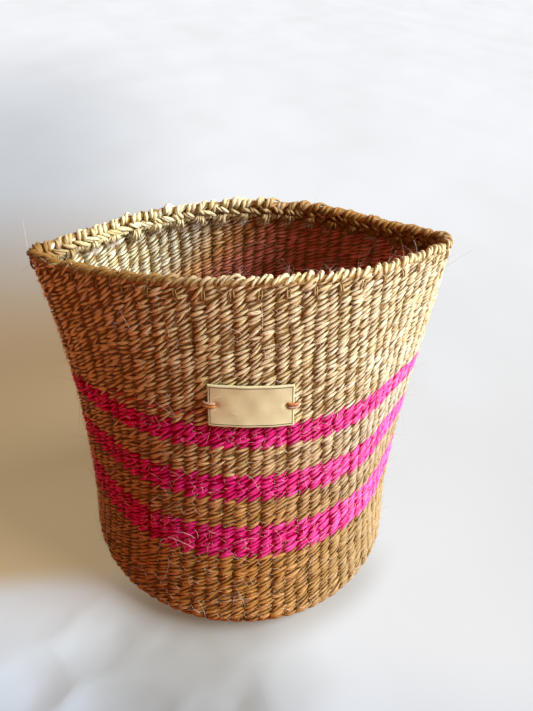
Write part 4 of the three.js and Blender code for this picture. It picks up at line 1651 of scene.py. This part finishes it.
class BASKET_OT_hairs(bpy.types.Operator):
    """Scatters the loose sisal hairs that stand out of the weave."""

    bl_idname = "basket.hairs"
    bl_label = "Stray hairs"

    SIDES = 3
    STATIONS = 6
    LOWEST = 0.0004
    HIGHEST = 0.2515
    GIRTH = 0.0005
    THINNING = 0.75

    # Name, number of hairs, then the range of their roots' levels, of their lengths and radii
    GROWTHS = (
        ("stray_hairs_long", 1500, (0.004, 0.226), (0.004, 0.014), (0.00007, 0.00013)),
        ("fuzz_low", 5500, (0.004, 0.115), (0.0015, 0.005), (0.00005, 0.00009)),
        ("fuzz_high", 5500, (0.115, 0.226), (0.0015, 0.005), (0.00005, 0.00009)),
    )
    INNER_SHARE = 0.22
    LOWEST_INNER = 0.03
    HEEL_LEVEL = 0.013
    STAND = (0.02, 0.26)
    INWARD_PULL = 0.35
    # Spreads of the pull that curls a hair, as shares of its length
    CURL = 0.9
    RIM_CURL = 1.5
    FLUFF_CURL = 0.6
    # Steps in metres and in turns that show which way is out and which way is along
    DEPTH_STEP = 0.001
    TURN_STEP = 0.0005

    # Distance to the right of the front's middle, number of hairs and their longest length
    RIM_TUFTS = (
        (-0.015, 9, 0.012),
        (0.014, 5, 0.007),
        (0.031, 3, 0.012),
        (0.037, 5, 0.007),
        (0.056, 3, 0.016),
        (0.078, 3, 0.010),
        (0.092, 4, 0.008),
        (0.102, 4, 0.010),
        (-0.040, 3, 0.005),
        (-0.075, 3, 0.006),
    )
    RIM_RADII = (0.00004, 0.00008)
    # How far below the rim and how far apart a tuft's hairs start, in metres
    RIM_DROP = 0.001
    RIM_SPREAD = 0.0007
    # How far the hairs lean off upright, and the part of that in each direction
    RIM_LEAN = 0.55
    RIM_LEAN_PARTS = (1.0, 0.5, 0.4)
    RIM_TONES = (0.6, 1)

    FLUFF = 3400
    FLUFF_LEVELS = (0.2150, 0.2185)
    FLUFF_DEPTHS = (-0.0002, 0.0012)
    FLUFF_LENGTHS = (0.0015, 0.0042)
    FLUFF_RADII = (0.00006, 0.00011)
    # Middle and spread of a fluff's place, in ribs from its tuft
    FLUFF_PLACES = (0.75, 0.28)
    FLUFF_LEAN = 0.6
    FLUFF_INWARD = 0.5
    FLUFF_DROOP = (0.0, 0.0, 0.5)
    FLUFF_TONES = (0.75, 1)
    # Two depths inside the wall that show which way is inward
    INWARD_STEP = (0.006, 0.008)
    # To the right of this place the fluff is as dark as the shade there
    SHADE_START = 0.02
    SHADE_TONE = 0.15

    def execute(self, context):
        tub = the_tub()
        weave = the_weave()
        rng = random_run(31)
        for growth in self.GROWTHS:
            self.grow(tub, rng, *growth)
        self.tuft_the_rim(tub, rng)
        self.fluff_the_ends(tub, weave, rng)
        return {"FINISHED"}

    def grow(self, tub, rng, name, count, levels, lengths, radii):
        """Hairs that start anywhere on the weave and lie mostly along it."""
        level = rng.uniform(*levels, count)
        turn = rng.random(count)
        inner = (rng.random(count) < self.INNER_SHARE) & (level > self.LOWEST_INNER)
        depth = np.where(inner, tub.thickness, 0.0)
        travel = tub.travel_of(np.maximum(level, self.HEEL_LEVEL))
        root = tub.shell(travel, turn, depth)
        outside = unit(tub.shell(travel, turn, depth - self.DEPTH_STEP) - root)
        outside = np.where(inner[:, None], -outside, outside)
        along = unit(tub.shell(travel, turn + self.TURN_STEP, depth) - root)
        up = np.array([0.0, 0.0, 1.0])
        lie = rng.uniform(0, FULL_TURN, (count, 1))
        flat = np.cos(lie) * along + np.sin(lie) * up
        stand = rng.uniform(*self.STAND, (count, 1))
        start = unit(flat * (1 - stand) + outside * stand)
        pull = rng.normal(0, self.CURL, (count, 3)) - self.INWARD_PULL * outside
        length = rng.uniform(*lengths, (count, 1))
        self.bend(name, rng, root, start, pull, length, radii, rng.random(count))

    def tuft_the_rim(self, tub, rng):
        """Small bundles of hairs that stand up from the front rim and curl."""
        place, count, longest = (np.array(column) for column in zip(*self.RIM_TUFTS))
        tuft = np.repeat(np.arange(len(place)), count)
        hairs = len(tuft)
        level = tub.height - rng.uniform(0, self.RIM_DROP, hairs)
        turn = tub.turn_at(tub.height, place[tuft] + rng.normal(0, self.RIM_SPREAD, hairs))
        root = tub.wall(level, turn, tub.middle)
        leaning = rng.normal(0, self.RIM_LEAN, (hairs, 3)) * self.RIM_LEAN_PARTS
        start = unit(leaning + [0.0, 0.0, 1.0])
        pull = rng.normal(0, self.RIM_CURL, (hairs, 3))
        length = (longest[tuft] * rng.uniform(0.5, 1.0, hairs))[:, None]
        tone = rng.uniform(*self.RIM_TONES, hairs)
        self.bend("stray_hairs_rim", rng, root, start, pull, length, self.RIM_RADII, tone)

    def fluff_the_ends(self, tub, weave, rng):
        """Short pale fluff round the cut ends under every second rib of the rim's inner side."""
        hairs = self.FLUFF
        tuft = 2 * rng.integers(0, weave.rib_count // 2, hairs)
        place, spread = self.FLUFF_PLACES
        turn = (tuft + place + rng.normal(0, spread, hairs)) / weave.rib_count
        level = rng.uniform(*self.FLUFF_LEVELS, hairs)
        root = tub.wall(level, turn, tub.thickness + rng.uniform(*self.FLUFF_DEPTHS, hairs))
        near, far = (tub.wall(level, turn, depth) for depth in self.INWARD_STEP)
        leaning = rng.normal(0, self.FLUFF_LEAN, (hairs, 3))
        start = unit(leaning + self.FLUFF_INWARD * unit(far - near) - self.FLUFF_DROOP)
        pull = rng.normal(0, self.FLUFF_CURL, (hairs, 3))
        length = rng.uniform(*self.FLUFF_LENGTHS, (hairs, 1))
        shaded_tone = np.where(root[:, 0] > self.SHADE_START, self.SHADE_TONE, 1)
        tone = rng.uniform(*self.FLUFF_TONES, hairs) * shaded_tone
        self.bend("cut_end_fluff", rng, root, start, pull, length, self.FLUFF_RADII, tone)

    def bend(self, name, rng, root, start, pull, length, radii, tone):
        """Each hair follows a parabola from its root, bent by its pull, and thins to its tip."""
        count = len(root)
        share = np.linspace(0, 1, self.STATIONS)
        along = share[None, :, None]
        curve = along * start[:, None, :] + along**2 * pull[:, None, :] * 0.5
        paths = root[:, None, :] + length[:, :, None] * curve
        paths[..., 2] = np.clip(paths[..., 2], self.LOWEST, self.HIGHEST)
        thickness = rng.uniform(*radii, (count, 1)) * (1 - self.THINNING * share[None, :] ** 1.5)
        reference = np.cross(start, pull)[:, None, :] + 0 * paths
        points = sweep_tubes(paths, thickness, reference, self.SIDES).reshape(-1, 3)
        layout = (count, self.STATIONS, self.SIDES, False)
        faces = grid_faces(*layout)[0]
        bake = tube_uvs(*layout, path_lengths(paths), self.GIRTH, rng)["OFBake"]
        values = {"tone": np.repeat(tone, self.STATIONS * self.SIDES)}
        look = (made_once("Stray hair", stray_hair), "pale_sisal")
        make_piece(name, points, faces, *look, {"OFBake": bake}, values)


class BASKET_PT_panel(bpy.types.Panel):
    """The basket's pieces in the order in which they are made."""

    bl_idname = "BASKET_PT_panel"
    bl_label = "Woven basket"
    bl_space_type = "VIEW_3D"
    bl_region_type = "UI"
    bl_category = "Basket"

    def draw(self, context):
        for step in STEPS:
            self.layout.operator(step.bl_idname)


SETTINGS = (
    ("basket_sizes", BasketSizes),
    ("basket_weave", WeaveSettings),
    ("basket_colours", BasketColours),
    ("basket_stage", StageSettings),
)
STEPS = (
    BASKET_OT_camera,
    BASKET_OT_stage,
    BASKET_OT_base,
    BASKET_OT_wall,
    BASKET_OT_warps,
    BASKET_OT_border,
    BASKET_OT_cut_ends,
    BASKET_OT_tucked_ends,
    BASKET_OT_label,
    BASKET_OT_stitches,
    BASKET_OT_hairs,
)


def register():
    for name, group in SETTINGS:
        bpy.utils.register_class(group)
        setattr(bpy.types.Scene, name, PointerProperty(type=group))
    for step in (*STEPS, BASKET_PT_panel):
        bpy.utils.register_class(step)


def unregister():
    for step in reversed((*STEPS, BASKET_PT_panel)):
        bpy.utils.unregister_class(step)
    for name, group in reversed(SETTINGS):
        delattr(bpy.types.Scene, name)
        bpy.utils.unregister_class(group)


def main():
    """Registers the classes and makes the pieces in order."""
    register()
    for step in STEPS:
        group, action = step.bl_idname.split(".")
        getattr(getattr(bpy.ops, group), action)()


if __name__ == "__main__":
    main()
